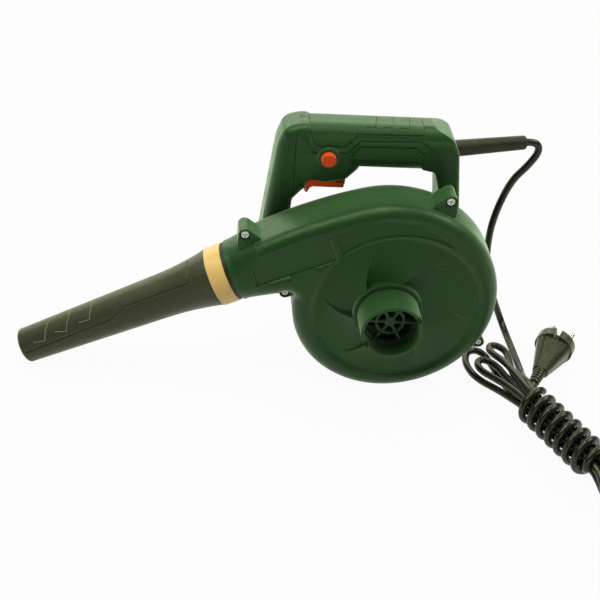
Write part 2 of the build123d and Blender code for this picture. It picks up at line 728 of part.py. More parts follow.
def nozzle_ring():
    """Coloured band on the nozzle's root."""
    bore = BAND_RADIUS - BAND_WALL
    profile = [(bore, BAND_START), (BAND_RADIUS - 0.5, BAND_START), (BAND_RADIUS, BAND_START + 0.5),
               (BAND_RADIUS, NOZZLE_START - 0.5), (BAND_RADIUS - 0.5, NOZZLE_START), (bore, NOZZLE_START)]
    return turned(profile, outlet_plane(0))


def nozzle():
    """Hollow nozzle: spigot in the neck, flare behind the band, long taper and rounded lip."""
    spigot_radius = NECK_BORE - SPIGOT_GAP
    spigot_bore = spigot_radius - NOZZLE_WALL
    flare_end = NOZZLE_START + FLARE_LENGTH
    taper_end = flare_end + TAPER_LENGTH
    tip_bore = NOZZLE_TIP_RADIUS - NOZZLE_WALL
    waist_bore = NOZZLE_WAIST_RADIUS - NOZZLE_WALL
    third = FLARE_LENGTH * 0.42
    dip = NOZZLE_WAIST_RADIUS + (NOZZLE_ROOT_RADIUS - NOZZLE_WAIST_RADIUS) * 0.4
    spigot_end = (spigot_radius, OUTLET_END - SPIGOT_DEPTH)
    root = (NOZZLE_ROOT_RADIUS, NOZZLE_START)
    waist = (NOZZLE_WAIST_RADIUS, flare_end)
    lip = (NOZZLE_TIP_RADIUS, taper_end)
    lip_end = (tip_bore + 0.4, NOZZLE_END)
    lip_middle = (NOZZLE_TIP_RADIUS - 0.5, taper_end + TIP_LENGTH * 0.75)
    edges = [
        Line((spigot_bore, OUTLET_END - SPIGOT_DEPTH), spigot_end),
        Line(spigot_end, (spigot_radius, NOZZLE_START)),
        Line((spigot_radius, NOZZLE_START), root),
        ThreePointArc(root, (dip, NOZZLE_START + third), waist),
        Line(waist, lip),
        ThreePointArc(lip, lip_middle, lip_end),
        Line(lip_end, (tip_bore, NOZZLE_END)),
        Line((tip_bore, NOZZLE_END), (tip_bore, NOZZLE_END - TIP_BORE_LENGTH)),
        Line((tip_bore, NOZZLE_END - TIP_BORE_LENGTH), (waist_bore, flare_end)),
        Line((waist_bore, flare_end), (spigot_bore, NOZZLE_START)),
        Line((spigot_bore, NOZZLE_START), (spigot_bore, OUTLET_END - SPIGOT_DEPTH)),
    ]
    return outlet_plane(0) * revolve(Plane.XZ * make_face(edges), Axis.Z)


def impeller():
    """Open fan wheel: hub, back plate and leaning blades."""
    body = ring(SHAFT_RADIUS, HUB_RADIUS, HUB_FRONT, IMPELLER_BACK)
    body += ring(HUB_RADIUS - HUB_LAP, IMPELLER_RADIUS, IMPELLER_BACK - IMPELLER_PLATE, IMPELLER_BACK)
    span = IMPELLER_RADIUS - IMPELLER_EYE
    for index in range(BLADE_COUNT):
        blade = block((0, span), (IMPELLER_FRONT, IMPELLER_BACK - IMPELLER_PLATE / 2),
                      (-BLADE_THICKNESS / 2, BLADE_THICKNESS / 2))
        placed = Pos(IMPELLER_EYE, 0, 0) * Rot(0, BLADE_LEAN, 0) * blade
        body += Rot(0, 360 / BLADE_COUNT * index, 0) * placed
    return body & bar(0, 0, IMPELLER_FRONT - OVERCUT, IMPELLER_BACK + OVERCUT, IMPELLER_RADIUS)


def fan_washer():
    return ring(SHAFT_RADIUS, HUB_RADIUS - WASHER_MARGIN, HUB_FRONT - WASHER_THICKNESS, HUB_FRONT)


def fan_nut():
    far = HUB_FRONT - WASHER_THICKNESS
    hexagon = RegularPolygon(NUT_FLATS / 2, 6, major_radius=False) - Circle(SHAFT_RADIUS)
    return slab(hexagon, far - NUT_HEIGHT, far)


def motor_shaft():
    front = HUB_FRONT - WASHER_THICKNESS - NUT_HEIGHT - SHAFT_TIP
    shoulder = BACK + REAR_BEARING_START - SHAFT_TIP / 2
    end = BACK + REAR_BEARING_START + REAR_BEARING_WIDTH
    return bar(0, 0, front, shoulder, SHAFT_RADIUS) + bar(0, 0, shoulder, end, SHAFT_TAIL_RADIUS)


def armature_core():
    start = BACK + FIELD_START
    return ring(SHAFT_RADIUS, FIELD_BORE - AIR_GAP, start, start + FIELD_LENGTH)


def armature_windings():
    start = BACK + FIELD_START
    end = start + FIELD_LENGTH
    inner = SHAFT_RADIUS + WINDING_MARGIN
    outer = FIELD_BORE - AIR_GAP - WINDING_MARGIN
    front = ring(inner, outer, start - WINDING_LENGTH, start)
    return Compound([front, ring(inner, outer, end, end + WINDING_LENGTH)])


def commutator():
    start = BACK + COMMUTATOR_START
    return ring(SHAFT_RADIUS, COMMUTATOR_RADIUS, start, start + COMMUTATOR_LENGTH)


def bearing_bracket():
    """Plate behind the fan that carries the front bearing."""
    seat = BACK + BRACKET_THICKNESS
    hub = FRONT_BEARING_RADIUS + BRACKET_HUB_WALL
    profile = [
        (SHAFT_RADIUS + BRACKET_SHAFT_GAP, BACK),
        (HOUSING_BORE - SCREW_GAP, BACK),
        (HOUSING_BORE - SCREW_GAP, seat),
        (hub, seat),
        (hub, seat + FRONT_BEARING_WIDTH),
        (FRONT_BEARING_RADIUS, seat + FRONT_BEARING_WIDTH),
        (FRONT_BEARING_RADIUS, seat),
        (SHAFT_RADIUS + BRACKET_SHAFT_GAP, seat),
    ]
    return turned(profile, FAN_PLANE)


def front_bearing():
    seat = BACK + BRACKET_THICKNESS
    return ring(SHAFT_RADIUS + RUNNING_GAP, FRONT_BEARING_RADIUS, seat, seat + FRONT_BEARING_WIDTH)


def rear_bearing():
    start = BACK + REAR_BEARING_START
    return ring(SHAFT_TAIL_RADIUS + RUNNING_GAP, REAR_BEARING_RADIUS, start, start + REAR_BEARING_WIDTH)


def field_core():
    start = BACK + FIELD_START
    return ring(FIELD_BORE, HOUSING_BORE - SCREW_GAP, start, start + FIELD_LENGTH)


def field_coils():
    """End turns of the two field coils, a pair of curved saddles at each end of the core."""
    start = BACK + FIELD_START
    coils = []
    for near in (start - WINDING_LENGTH, start + FIELD_LENGTH):
        far = near + WINDING_LENGTH
        whole = ring(FIELD_BORE + COIL_INNER_GAP, HOUSING_BORE - COIL_OUTER_GAP, near, far)
        gap = block((-HOUSING_BORE, HOUSING_BORE), (near - OVERCUT, far + OVERCUT),
                    (-COIL_PARTING / 2, COIL_PARTING / 2))
        coils += (whole - gap).solids()
    return Compound(coils)


def brush_rows():
    start = BACK + COMMUTATOR_START + (COMMUTATOR_LENGTH - BRUSH_WIDTH) / 2
    return start, start + BRUSH_WIDTH


def carbon_brushes():
    near, far = brush_rows()
    inner = COMMUTATOR_RADIUS + BRUSH_GAP
    brush = block((inner, inner + BRUSH_LENGTH), (near, far), (-BRUSH_HEIGHT / 2, BRUSH_HEIGHT / 2))
    return Compound([brush, Rot(0, 180, 0) * brush])


def holder_span(margin):
    """Reach of a brush holder along Y and Z, beyond the brush by a margin."""
    near, far = brush_rows()
    half = BRUSH_HEIGHT / 2 + margin
    return (near - margin, far + margin), (-half, half)


def brush_holders():
    """Square guides with closed outer ends, one each side of the commutator."""
    inner = COMMUTATOR_RADIUS + HOLDER_START
    end = COMMUTATOR_RADIUS + BRUSH_GAP + BRUSH_LENGTH + HOLDER_SPARE
    guide = block((inner, HOUSING_BORE - HOLDER_SEAT), *holder_span(HOLDER_WALL))
    holder = guide - block((inner - OVERCUT, end), *holder_span(SCREW_GAP))
    return Compound([holder, Rot(0, 180, 0) * holder])


def motor_housing():
    """Motor tube with a flange on the casing and a foot that stands on the floor."""
    profile = [
        (HOUSING_BORE, BACK),
        (FLANGE_RADIUS, BACK),
        (FLANGE_RADIUS, BACK + FLANGE_THICKNESS),
        (HOUSING_RADIUS, BACK + FLANGE_THICKNESS),
        (HOUSING_RADIUS, HOUSING_END),
        (HOUSING_BORE, HOUSING_END),
    ]
    near = BACK + FOOT_BACK - FOOT_LENGTH
    far = BACK + FOOT_BACK
    middle = (near + far) / 2
    neck = Polyline((-FOOT_NECK / 2, 0), (FOOT_NECK / 2, 0),
                    (FOOT_WIDTH / 2, FLOOR), (-FOOT_WIDTH / 2, FLOOR), close=True)
    web = slab(make_face(neck), middle - FOOT_WEB / 2, middle + FOOT_WEB / 2)
    pad = block((-FOOT_WIDTH / 2, FOOT_WIDTH / 2), (near, far), (FLOOR, FLOOR + FOOT_THICKNESS))
    pad = fillet(pad.edges().filter_by(Axis.Z), FOOT_THICKNESS)
    stand = web + pad - bar(0, 0, near - OVERCUT, far + OVERCUT, HOUSING_BORE)
    body = turned(profile, FAN_PLANE) + stand
    for x, z in housing_screw_places():
        body -= bar(x, z, BACK - OVERCUT, BACK + FLANGE_THICKNESS + OVERCUT, SHANK_RADIUS + SCREW_GAP)
    side = block((HOUSING_BORE - HOLDER_SEAT, HOUSING_BORE + HOLDER_LAP), *holder_span(HOLDER_WALL))
    return body + side + Rot(0, 180, 0) * side


def housing_screws():
    seat = BACK + FLANGE_THICKNESS
    length = FLANGE_THICKNESS + SCREW_BITE - WALL
    places = housing_screw_places()
    return Compound([screw_from_back(x, seat, z, SMALL_HEAD_RADIUS, length) for x, z in places])


def motor_end_cap():
    """Domed, slotted cover on the motor's end, with the rear bearing's seat."""
    end = HOUSING_END + CAP_LENGTH
    inside = HOUSING_BORE - SCREW_GAP
    seat = BACK + REAR_BEARING_START
    seat_end = seat + REAR_BEARING_WIDTH
    hub = REAR_BEARING_RADIUS + CAP_HUB_WALL
    lip = REAR_BEARING_RADIUS - CAP_SEAT_LIP
    profile = [
        (inside - WALL, HOUSING_END - CAP_SPIGOT),
        (inside, HOUSING_END - CAP_SPIGOT),
        (inside, HOUSING_END),
        (HOUSING_RADIUS, HOUSING_END),
        (HOUSING_RADIUS - CAP_EDGE, HOUSING_END + CAP_LENGTH / 2),
        (CAP_FACE_RADIUS + CAP_SHOULDER, end - CAP_EDGE),
        (CAP_FACE_RADIUS, end),
        (0, end),
        (0, end - WALL),
        (lip, end - WALL),
        (lip, seat_end),
        (REAR_BEARING_RADIUS, seat_end),
        (REAR_BEARING_RADIUS, seat),
        (hub, seat),
        (hub, end - WALL),
        (CAP_FACE_RADIUS - SOFT_EDGE, end - WALL),
        (inside - WALL, HOUSING_END + CAP_LENGTH / 3),
    ]
    body = turned(profile, FAN_PLANE)
    for index in range(CAP_SLOTS):
        slot = block((hub + CAP_HUB_WALL, CAP_FACE_RADIUS - CAP_SHOULDER), (end - 2 * WALL, end + OVERCUT),
                     (-CAP_SLOT_WIDTH / 2, CAP_SLOT_WIDTH / 2))
        body -= Rot(0, 360 / CAP_SLOTS * (index + 0.5), 0) * slot
    return body


def handle_leg(points, corners, rounding, inset):
    """One leg of the handle: an outline in X and Z with rounded rims."""
    face = make_face(FilletPolyline(*points, radius=corners, close=True))
    if inset:
        face = offset(face, amount=-inset)
    body = slab(face, HANDLE_FRONT + inset, HANDLE_BACK - inset)
    return fillet(rims(body), rounding - inset)


def grip_bar(inset, behind):
    """The grip's rounded bar, rising slightly to the rear and reaching a given way behind its middle."""
    tilt = math.radians(GRIP_TILT)
    along = Vector(math.cos(tilt), 0, math.sin(tilt))
    middle = Vector(GRIP_MIDDLE, HANDLE_MID, GRIP_TOP - GRIP_HEIGHT / 2)
    plane = Plane(origin=middle - along * GRIP_AHEAD, x_dir=(0, 1, 0), z_dir=along)
    section = RectangleRounded(HANDLE_WIDTH - 2 * inset, GRIP_HEIGHT - 2 * inset, GRIP_ROUND - inset)
    return extrude(plane * section, GRIP_AHEAD + behind)


def handle_body(inset):
    """Front leg with the switch housing, grip, and rear leg whose top takes the grip's roundness."""
    front = handle_leg(FRONT_LEG, FRONT_LEG_CORNERS, FRONT_LEG_ROUND, inset)
    rear = handle_leg(REAR_LEG, REAR_LEG_CORNERS, REAR_LEG_ROUND, inset)
    above = block((0, BEYOND), (0, BEYOND), (GRIP_TOP - GRIP_HEIGHT / 2, BEYOND))
    rear -= above - grip_bar(inset, GRIP_RUN_OUT)
    return front + rear + grip_bar(inset, GRIP_BEHIND)


def guard_axis():
    """Start, end and direction of the cord guard, which points back at the lead's last bend in the handle."""
    bend = Vector(GUARD_AIM[0], HANDLE_MID, GUARD_AIM[1])
    end = Vector(GUARD_REACH[0], HANDLE_MID + GUARD_REACH[1], GUARD_REACH[2])
    direction = (end - bend).normalized()
    return bend + direction * TAIL_LEAD, end, direction


def guard_plane():
    start, end, direction = guard_axis()
    return Plane(origin=start, x_dir=(0, 1, 0), z_dir=direction)


def trigger_slot():
    half = TRIGGER_WIDTH / 2 + TRIGGER_GAP
    return block(TRIGGER_SLOT, (HANDLE_MID - half, HANDLE_MID + half), TRIGGER_SLOT_RISE)


def handle_shells():
    """Front and rear handle shells, parted along the middle of the handle."""
    hollow = handle_body(0) - handle_body(SHELL_WALL)
    for x, z in LEG_SCREWS + GRIP_SCREWS:
        hollow += bar(x, z, HANDLE_FRONT, SHELL_ROOT, COLUMN_RADIUS)
    pin_x, pin_z = TRIGGER_PIN
    ear = HANDLE_WIDTH / 2 - TRIGGER_WIDTH / 2 - TRIGGER_GAP
    ear_radius = TRIGGER_PIN_RADIUS + TRIGGER_EAR
    hollow += bar(pin_x, pin_z, HANDLE_FRONT + OVERCUT, HANDLE_FRONT + ear, ear_radius)
    hollow += bar(pin_x, pin_z, HANDLE_BACK - ear, SHELL_ROOT, ear_radius)
    hollow -= bar(pin_x, pin_z, HANDLE_FRONT + SHELL_WALL, HANDLE_BACK - SHELL_WALL, TRIGGER_PIN_RADIUS)
    hollow -= trigger_slot()
    for x, z in LEG_SCREWS + GRIP_SCREWS:
        head_seat = HANDLE_BACK - SCREW_RECESS - SHELL_WALL
        hollow -= bar(x, z, head_seat, HANDLE_BACK + OVERCUT, SMALL_HEAD_RADIUS + HEAD_GAP)
        hollow -= bar(x, z, HANDLE_FRONT + SHELL_WALL, head_seat, SHANK_RADIUS + SCREW_GAP)
    for x, z in LEG_SCREWS:
        hollow -= bar(x, z, HANDLE_FRONT - OVERCUT, HANDLE_FRONT + SHELL_WALL, SHANK_RADIUS + SCREW_GAP)
    hollow -= guard_plane() * Pos(0, 0, GUARD_HOLE / 2) * Cylinder(GUARD_ROOT_RADIUS + SCREW_GAP, GUARD_HOLE)
    across = (-BEYOND, BEYOND)
    front = hollow & block(across, (0, HANDLE_MID), across)
    rear = hollow & block(across, (HANDLE_MID, BEYOND), across)
    button_x, button_z = BUTTON_PLACE
    front -= bar(button_x, button_z, 0, HANDLE_FRONT + SHELL_WALL + OVERCUT, BUTTON_RADIUS + BUTTON_GAP)
    rear += switch_rib() + clamp_block() + capacitor_rib()
    return front, rear


def switch_rib():
    """Rib on the rear shell that the switch is fixed to."""
    x = SWITCH_LOW_CORNER[0] + SWITCH_LENGTH / 2
    z = SWITCH_LOW_CORNER[1] + SWITCH_HEIGHT / 2
    length, height = SWITCH_RIB
    return block((x - length / 2, x + length / 2), (SWITCH_FRONT + SWITCH_DEPTH, SHELL_ROOT),
                 (z - height / 2, z + height / 2))


def leg_screws():
    seat = HANDLE_BACK - SCREW_RECESS - SHELL_WALL
    length = seat - BACK + SCREW_BITE
    return Compound([screw_from_back(x, seat, z, SMALL_HEAD_RADIUS, length) for x, z in LEG_SCREWS])


def grip_screws():
    seat = HANDLE_BACK - SCREW_RECESS - SHELL_WALL
    length = seat - HANDLE_FRONT - 2 * SHELL_WALL
    return Compound([screw_from_back(x, seat, z, SMALL_HEAD_RADIUS, length) for x, z in GRIP_SCREWS])


def trigger():
    """Finger lever that turns on its pin at the front."""
    face = make_face(FilletPolyline(*TRIGGER_OUTLINE, radius=TRIGGER_CORNERS, close=True))
    body = slab(face, HANDLE_MID - TRIGGER_WIDTH / 2, HANDLE_MID + TRIGGER_WIDTH / 2)
    body = fillet(rims(body), TRIGGER_ROUND)
    pin_x, pin_z = TRIGGER_PIN
    return body - bar(pin_x, pin_z, HANDLE_FRONT, HANDLE_BACK, TRIGGER_PIN_RADIUS + RUNNING_GAP)


def trigger_pin():
    pin_x, pin_z = TRIGGER_PIN
    end = SHELL_WALL + TRIGGER_PIN_SPARE
    return bar(pin_x, pin_z, HANDLE_FRONT + end, HANDLE_BACK - end, TRIGGER_PIN_RADIUS)


def trigger_spring():
    low = TRIGGER_SPRING_SEAT + SPRING_WIRE / 2 + TRIGGER_SPRING_LIFT
    height = SWITCH_LOW_CORNER[1] - SPRING_WIRE / 2 - SPRING_GAP - low
    base = Vector(TRIGGER_SPRING_X, HANDLE_MID, low)
    return spring(base, Vector(0, 0, 1), Vector(1, 0, 0), TRIGGER_SPRING_RADIUS, height, TRIGGER_SPRING_TURNS)


def lock_button():
    """Round push button held behind the shell by its flange, hollow at the back for its spring."""
    front = HANDLE_FRONT - BUTTON_PROUD
    flange = HANDLE_FRONT + SHELL_WALL + BUTTON_GAP
    flange_radius = BUTTON_RADIUS + BUTTON_FLANGE
    tail_radius = BUTTON_RADIUS - BUTTON_TAIL_STEP
    back = flange + BUTTON_FLANGE + BUTTON_TAIL
    bore = LOCK_SPRING_RADIUS + SPRING_WIRE / 2 + LOCK_SPRING_GAP
    profile = [
        (0, front),
        (BUTTON_RADIUS - SOFT_EDGE, front),
        (BUTTON_RADIUS, front + SOFT_EDGE),
        (BUTTON_RADIUS, flange),
        (flange_radius, flange),
        (flange_radius, flange + BUTTON_FLANGE),
        (tail_radius, flange + BUTTON_FLANGE),
        (tail_radius, back),
        (bore, back),
        (bore, HANDLE_FRONT - BUTTON_FLOOR),
        (0, HANDLE_FRONT - BUTTON_FLOOR),
    ]
    return Pos(BUTTON_PLACE[0], 0, BUTTON_PLACE[1]) * turned(profile, FAN_PLANE)


def button_bezel():
    """Raised ring round the lock button."""
    near = HANDLE_FRONT - BEZEL_HEIGHT
    bore = BUTTON_RADIUS + BUTTON_GAP
    profile = [
        (bore, near),
        (BEZEL_RADIUS - SOFT_EDGE, near),
        (BEZEL_RADIUS, near + SOFT_EDGE),
        (BEZEL_RADIUS, HANDLE_FRONT),
        (bore, HANDLE_FRONT),
    ]
    return Pos(BUTTON_PLACE[0], 0, BUTTON_PLACE[1]) * turned(profile, FAN_PLANE)


def lock_spring():
    near = HANDLE_FRONT - BUTTON_FLOOR + SPRING_WIRE / 2 + SPRING_GAP
    far = SWITCH_FRONT - SPRING_WIRE / 2 - SPRING_GAP
    base = Vector(BUTTON_PLACE[0], near, BUTTON_PLACE[1])
    return spring(base, Vector(0, 1, 0), Vector(1, 0, 0), LOCK_SPRING_RADIUS, far - near, LOCK_SPRING_TURNS)


def switch_body():
    x, z = SWITCH_LOW_CORNER
    return block((x, x + SWITCH_LENGTH), (SWITCH_FRONT, SWITCH_FRONT + SWITCH_DEPTH), (z, z + SWITCH_HEIGHT))


def capacitor():
    x, z = CAPACITOR_PLACE
    length, depth, height = CAPACITOR_SIZE
    return block((x - length / 2, x + length / 2), (CAPACITOR_BACK - depth, CAPACITOR_BACK),
                 (z - height / 2, z + height / 2))


def capacitor_rib():
    """Pad on the rear shell that the capacitor is fixed to."""
    x, z = CAPACITOR_PLACE
    half = CAPACITOR_RIB / 2
    return block((x - half, x + half), (CAPACITOR_BACK, SHELL_ROOT), (z - half, z + half))


def clamp_height():
    """Height of the lead's middle where the clamp holds it."""
    return GUARD_AIM[1]


def clamp_block():
    """Pedestal in the rear shell that the lead is clamped against."""
    width, depth, height = CLAMP_SIZE
    middle = clamp_height()
    near = HANDLE_MID + CORD_RADIUS + CORD_GAP
    body = block((CLAMP_X - width / 2, CLAMP_X + width / 2), (near, SHELL_ROOT),
                 (middle - height / 2, middle + height / 2))
    for side in (-1, 1):
        body -= bar(CLAMP_X, middle + side * CLAMP_SCREW_SPREAD, HANDLE_MID, near + CLAMP_HOLE,
                    CLAMP_SCREW_RADIUS + SCREW_GAP)
    return body


def cord_clamp():
    width, depth, height = CLAMP_SIZE
    middle = clamp_height()
    far = HANDLE_MID - CORD_RADIUS - CORD_GAP
    body = block((CLAMP_X - width / 2, CLAMP_X + width / 2), (far - depth, far),
                 (middle - height / 2, middle + height / 2))
    for side in (-1, 1):
        body -= bar(CLAMP_X, middle + side * CLAMP_SCREW_SPREAD, far - depth - OVERCUT, far + OVERCUT,
                    CLAMP_SCREW_RADIUS + SCREW_GAP)
    return body


def cord_clamp_screws():
    seat = HANDLE_MID - CORD_RADIUS - CORD_GAP - CLAMP_SIZE[1]
    length = CLAMP_SIZE[1] + 2 * (CORD_RADIUS + CORD_GAP) + CLAMP_SCREW_BITE
    screws = []
    for side in (-1, 1):
        small = screw(CLAMP_HEAD_RADIUS, CLAMP_HEAD, CLAMP_SCREW_RADIUS, length)
        screws.append(Pos(CLAMP_X, seat, clamp_height() + side * CLAMP_SCREW_SPREAD) * Rot(-90, 0, 0) * small)
    return Compound(screws)


def cord_guard():
    """Tapered rubber sleeve from the handle's rear, with a flange that the shells trap."""
    start, end, direction = guard_axis()
    length = (end - start).length
    bore = CORD_RADIUS + CORD_GAP
    profile = [
        (bore, 0),
        (GUARD_FLANGE_RADIUS, 0),
        (GUARD_FLANGE_RADIUS, GUARD_FLANGE),
        (GUARD_ROOT_RADIUS, GUARD_FLANGE),
        (GUARD_ROOT_RADIUS, GUARD_COLLAR),
        (GUARD_END_RADIUS, length - GUARD_EDGE),
        (GUARD_END_RADIUS - GUARD_EDGE, length),
        (bore, length),
    ]
    return turned(profile, guard_plane())


def corner_radii(points):
    """Largest tangent arcs that fit the runs: 0.45 of the shorter run over the tangent of half the turn."""
    radii = []
    for before, here, after in zip(points, points[1:], points[2:]):
        run = min((here - before).length, (after - here).length)
        turn = math.radians((here - before).get_angle(after - here))
        radii.append(0.45 * run / math.tan(turn / 2))
    return radii


def route_edges(name, points):
    """Straight runs and tangent arcs along a route."""
    radii = corner_radii(points)
    print(name, "bend radii", [round(value, 1) for value in radii])
    return FilletPolyline(*points, radius=radii).edges()


def cord(name, edges):
    """Round cord along joined edges, with its length and volume printed."""
    body = tube(edges, CORD_RADIUS)
    length = sum(edge.length for edge in edges)
    share = body.volume / (math.pi * CORD_RADIUS ** 2 * length)
    print(name, "length", round(length, 1), "volume over section times length", round(share, 4))
    return body


def lead_tail():
    """The lead inside the handle, from the switch through its clamp and guard."""
    start, end, direction = guard_axis()
    switch_side = SWITCH_LOW_CORNER[0] + SWITCH_LENGTH
    points = [
        Vector(switch_side, HANDLE_MID, TAIL_HEIGHT),
        Vector(TAIL_TURN, HANDLE_MID, TAIL_HEIGHT),
        Vector(CLAMP_X - CLAMP_SIZE[0] / 2 - OVERCUT, HANDLE_MID, clamp_height()),
        Vector(GUARD_AIM[0], HANDLE_MID, GUARD_AIM[1]),
        end,
    ]
    return cord("lead_tail", route_edges("lead_tail", points))


def hank_point(along, across, up):
    return Vector(*HANK_START) + HANK_ALONG * along + HANK_ACROSS * across + Vector(0, 0, up)


def loose(points):
    """Stations whose headings follow from their neighbours."""
    return [(hank_point(*point), None) for point in points]


def strand(angle, spread, first, last):
    """Straight run inside the wraps, at an angle round the hank's axis."""
    across = spread * math.cos(math.radians(angle))
    up = spread * math.sin(math.radians(angle))
    heading = HANK_ALONG if last > first else HANK_ALONG * -1
    return [(hank_point(first, across, up), heading), (hank_point(last, across, up), heading)]


def wraps():
    """Turns of the lead round its own strands, from the far end to the near end."""
    start, start_angle = WRAP_START
    end, end_angle = WRAP_END
    sweep_angle = end_angle - 360 * WRAP_TURNS - start_angle
    steps = round(abs(sweep_angle) / WRAP_STEP)
    stations = []
    for step in range(steps + 1):
        angle = math.radians(start_angle + sweep_angle * step / steps)
        along = start + (end - start) * step / steps
        stations.append((along, WRAP_RADIUS * math.cos(angle), WRAP_RADIUS * math.sin(angle)))
    return loose(stations)


def hank_stations(first_heading):
    """The lead through its hank: three folds each end, then the wraps, then out to the plug."""
    stations = loose(LEAD_IN)
    stations[0] = (stations[0][0], first_heading)
    stations += strand(30, STRAND_PITCH, STRAND_START, STRAND_END)
    stations += loose(FAR_LOOP_HIGH)
    stations += strand(90, STRAND_PITCH, STRAND_END, STRAND_START)
    stations += loose(NEAR_LOOP_RIGHT)
    stations += strand(330, STRAND_PITCH, STRAND_START, STRAND_END)
    stations += loose(FAR_LOOP_MIDDLE)
    stations += strand(0, 0, STRAND_END, STRAND_START)
    stations += loose(NEAR_LOOP_MIDDLE)
    stations += strand(150, STRAND_PITCH, STRAND_START, STRAND_END)
    stations += loose(FAR_LOOP_LONG)
    stations += strand(270, STRAND_PITCH, STRAND_END, STRAND_START)
    stations += loose(NEAR_LOOP_LEFT)
    stations += strand(210, STRAND_PITCH, STRAND_START, LAST_STRAND_END)
    stations += loose(WRAP_LEAD_IN) + wraps() + loose(PLUG_LEAD)
    stations[-1] = (stations[-1][0], PLUG_HEADING)
    return stations


def print_least_gap(name, edges):
    """Least gap between turns, on points along the cord that lie some diameters apart by length."""
    marks = []
    travelled = 0
    for edge in edges:
        for sample in range(GAP_SAMPLES):
            share = sample / GAP_SAMPLES
            marks.append((travelled + edge.length * share, tuple(edge @ share)))
        travelled += edge.length
    spacing = LEAST_GAP_SPACING * 2 * CORD_RADIUS
    least = travelled
    for index, (travel, point) in enumerate(marks):
        for other_travel, other in marks[index + 1:]:
            if other_travel - travel > spacing:
                least = min(least, math.dist(point, other))
    print(name, "least gap", round(least - 2 * CORD_RADIUS, 2))


def mains_lead():
    """The lead outside the handle: down from the guard, along the floor, through its hank and to the plug."""
    start, end, direction = guard_axis()
    points = [end, end + direction * GUARD_LEAD]
    points += [Vector(*point) for point in LEAD_DROP] + [hank_point(*LEAD_IN[0])]
    drop = route_edges("mains_lead", points)
    edges = list(drop) + smooth_path(hank_stations((points[-1] - points[-2]).normalized()))
    print_least_gap("mains_lead", edges)
    return cord("mains_lead", edges)


def plug_plane(station):
    """Plane square to the plug's axis, its second axis upwards."""
    level = PLUG_HEADING.cross(Vector(0, 0, 1)).normalized()
    origin = hank_point(*PLUG_LEAD[-1]) + PLUG_HEADING * station
    return Plane(origin=origin, x_dir=level * -1, z_dir=PLUG_HEADING)


def plug_relief():
    """Grooved strain relief behind the plug."""
    pitch = PLUG_RELIEF_LENGTH / (PLUG_RELIEF_GROOVES + 1)
    root = plug_plane(0) * Circle(PLUG_RELIEF_START)
    cone = loft([root, plug_plane(PLUG_RELIEF_LENGTH) * Circle(PLUG_RELIEF_END)])
    groove = Circle(PLUG_RELIEF_END + OVERCUT) - Circle(PLUG_RELIEF_START - PLUG_RELIEF_GROOVE_DEPTH)
    for index in range(PLUG_RELIEF_GROOVES):
        station = pitch * (index + 1)
        cone -= extrude(plug_plane(station - pitch / 6) * groove, pitch / 3)
    return cone


def pin_spot(side, station):
    """Round of one plug pin at a station along the plug."""
    return plug_plane(station) * Pos(side * PLUG_PIN_SPACING / 2, 0) * Circle(PLUG_PIN_RADIUS)


def plug_body():
    """Flared grip and round face with a finger notch above and below."""
    start = PLUG_RELIEF_LENGTH
    face = start + PLUG_BODY_LENGTH
    narrow = plug_plane(start) * RectangleRounded(*PLUG_BODY_START)
    body = loft([narrow, plug_plane(face) * RectangleRounded(*PLUG_BODY_END)])
    body += extrude(plug_plane(face) * Circle(PLUG_RADIUS), PLUG_FACE_THICKNESS)
    half = PLUG_NOTCH_WIDTH / 2
    for side in (-1, 1):
        rim = side * (PLUG_RADIUS + OVERCUT)
        root = side * (PLUG_RADIUS - PLUG_NOTCH_DEPTH)
        corners = [(-half, rim), (half, rim), (half / 3, root), (-half / 3, root)]
        notch = make_face(Polyline(*corners, close=True))
        body -= extrude(plug_plane(face - OVERCUT) * notch, PLUG_FACE_THICKNESS + 2 * OVERCUT)
        body -= extrude(pin_spot(side, face + PLUG_FACE_THICKNESS - PLUG_PIN_SEAT), PLUG_PIN_SEAT + OVERCUT)
    return body


def plug_pins():
    seat = PLUG_RELIEF_LENGTH + PLUG_BODY_LENGTH + PLUG_FACE_THICKNESS - PLUG_PIN_SEAT
    length = PLUG_PIN_SEAT + PLUG_PIN_LENGTH
    pins = []
    for side in (-1, 1):
        pin = extrude(pin_spot(side, seat), length)
        end = plug_plane(seat + length) * Pos(side * PLUG_PIN_SPACING / 2, 0)
        tip = pin.faces().sort_by_distance(end.position)[0]
        pins.append(fillet(tip.edges(), PLUG_PIN_ROUND))
    return Compound(pins)


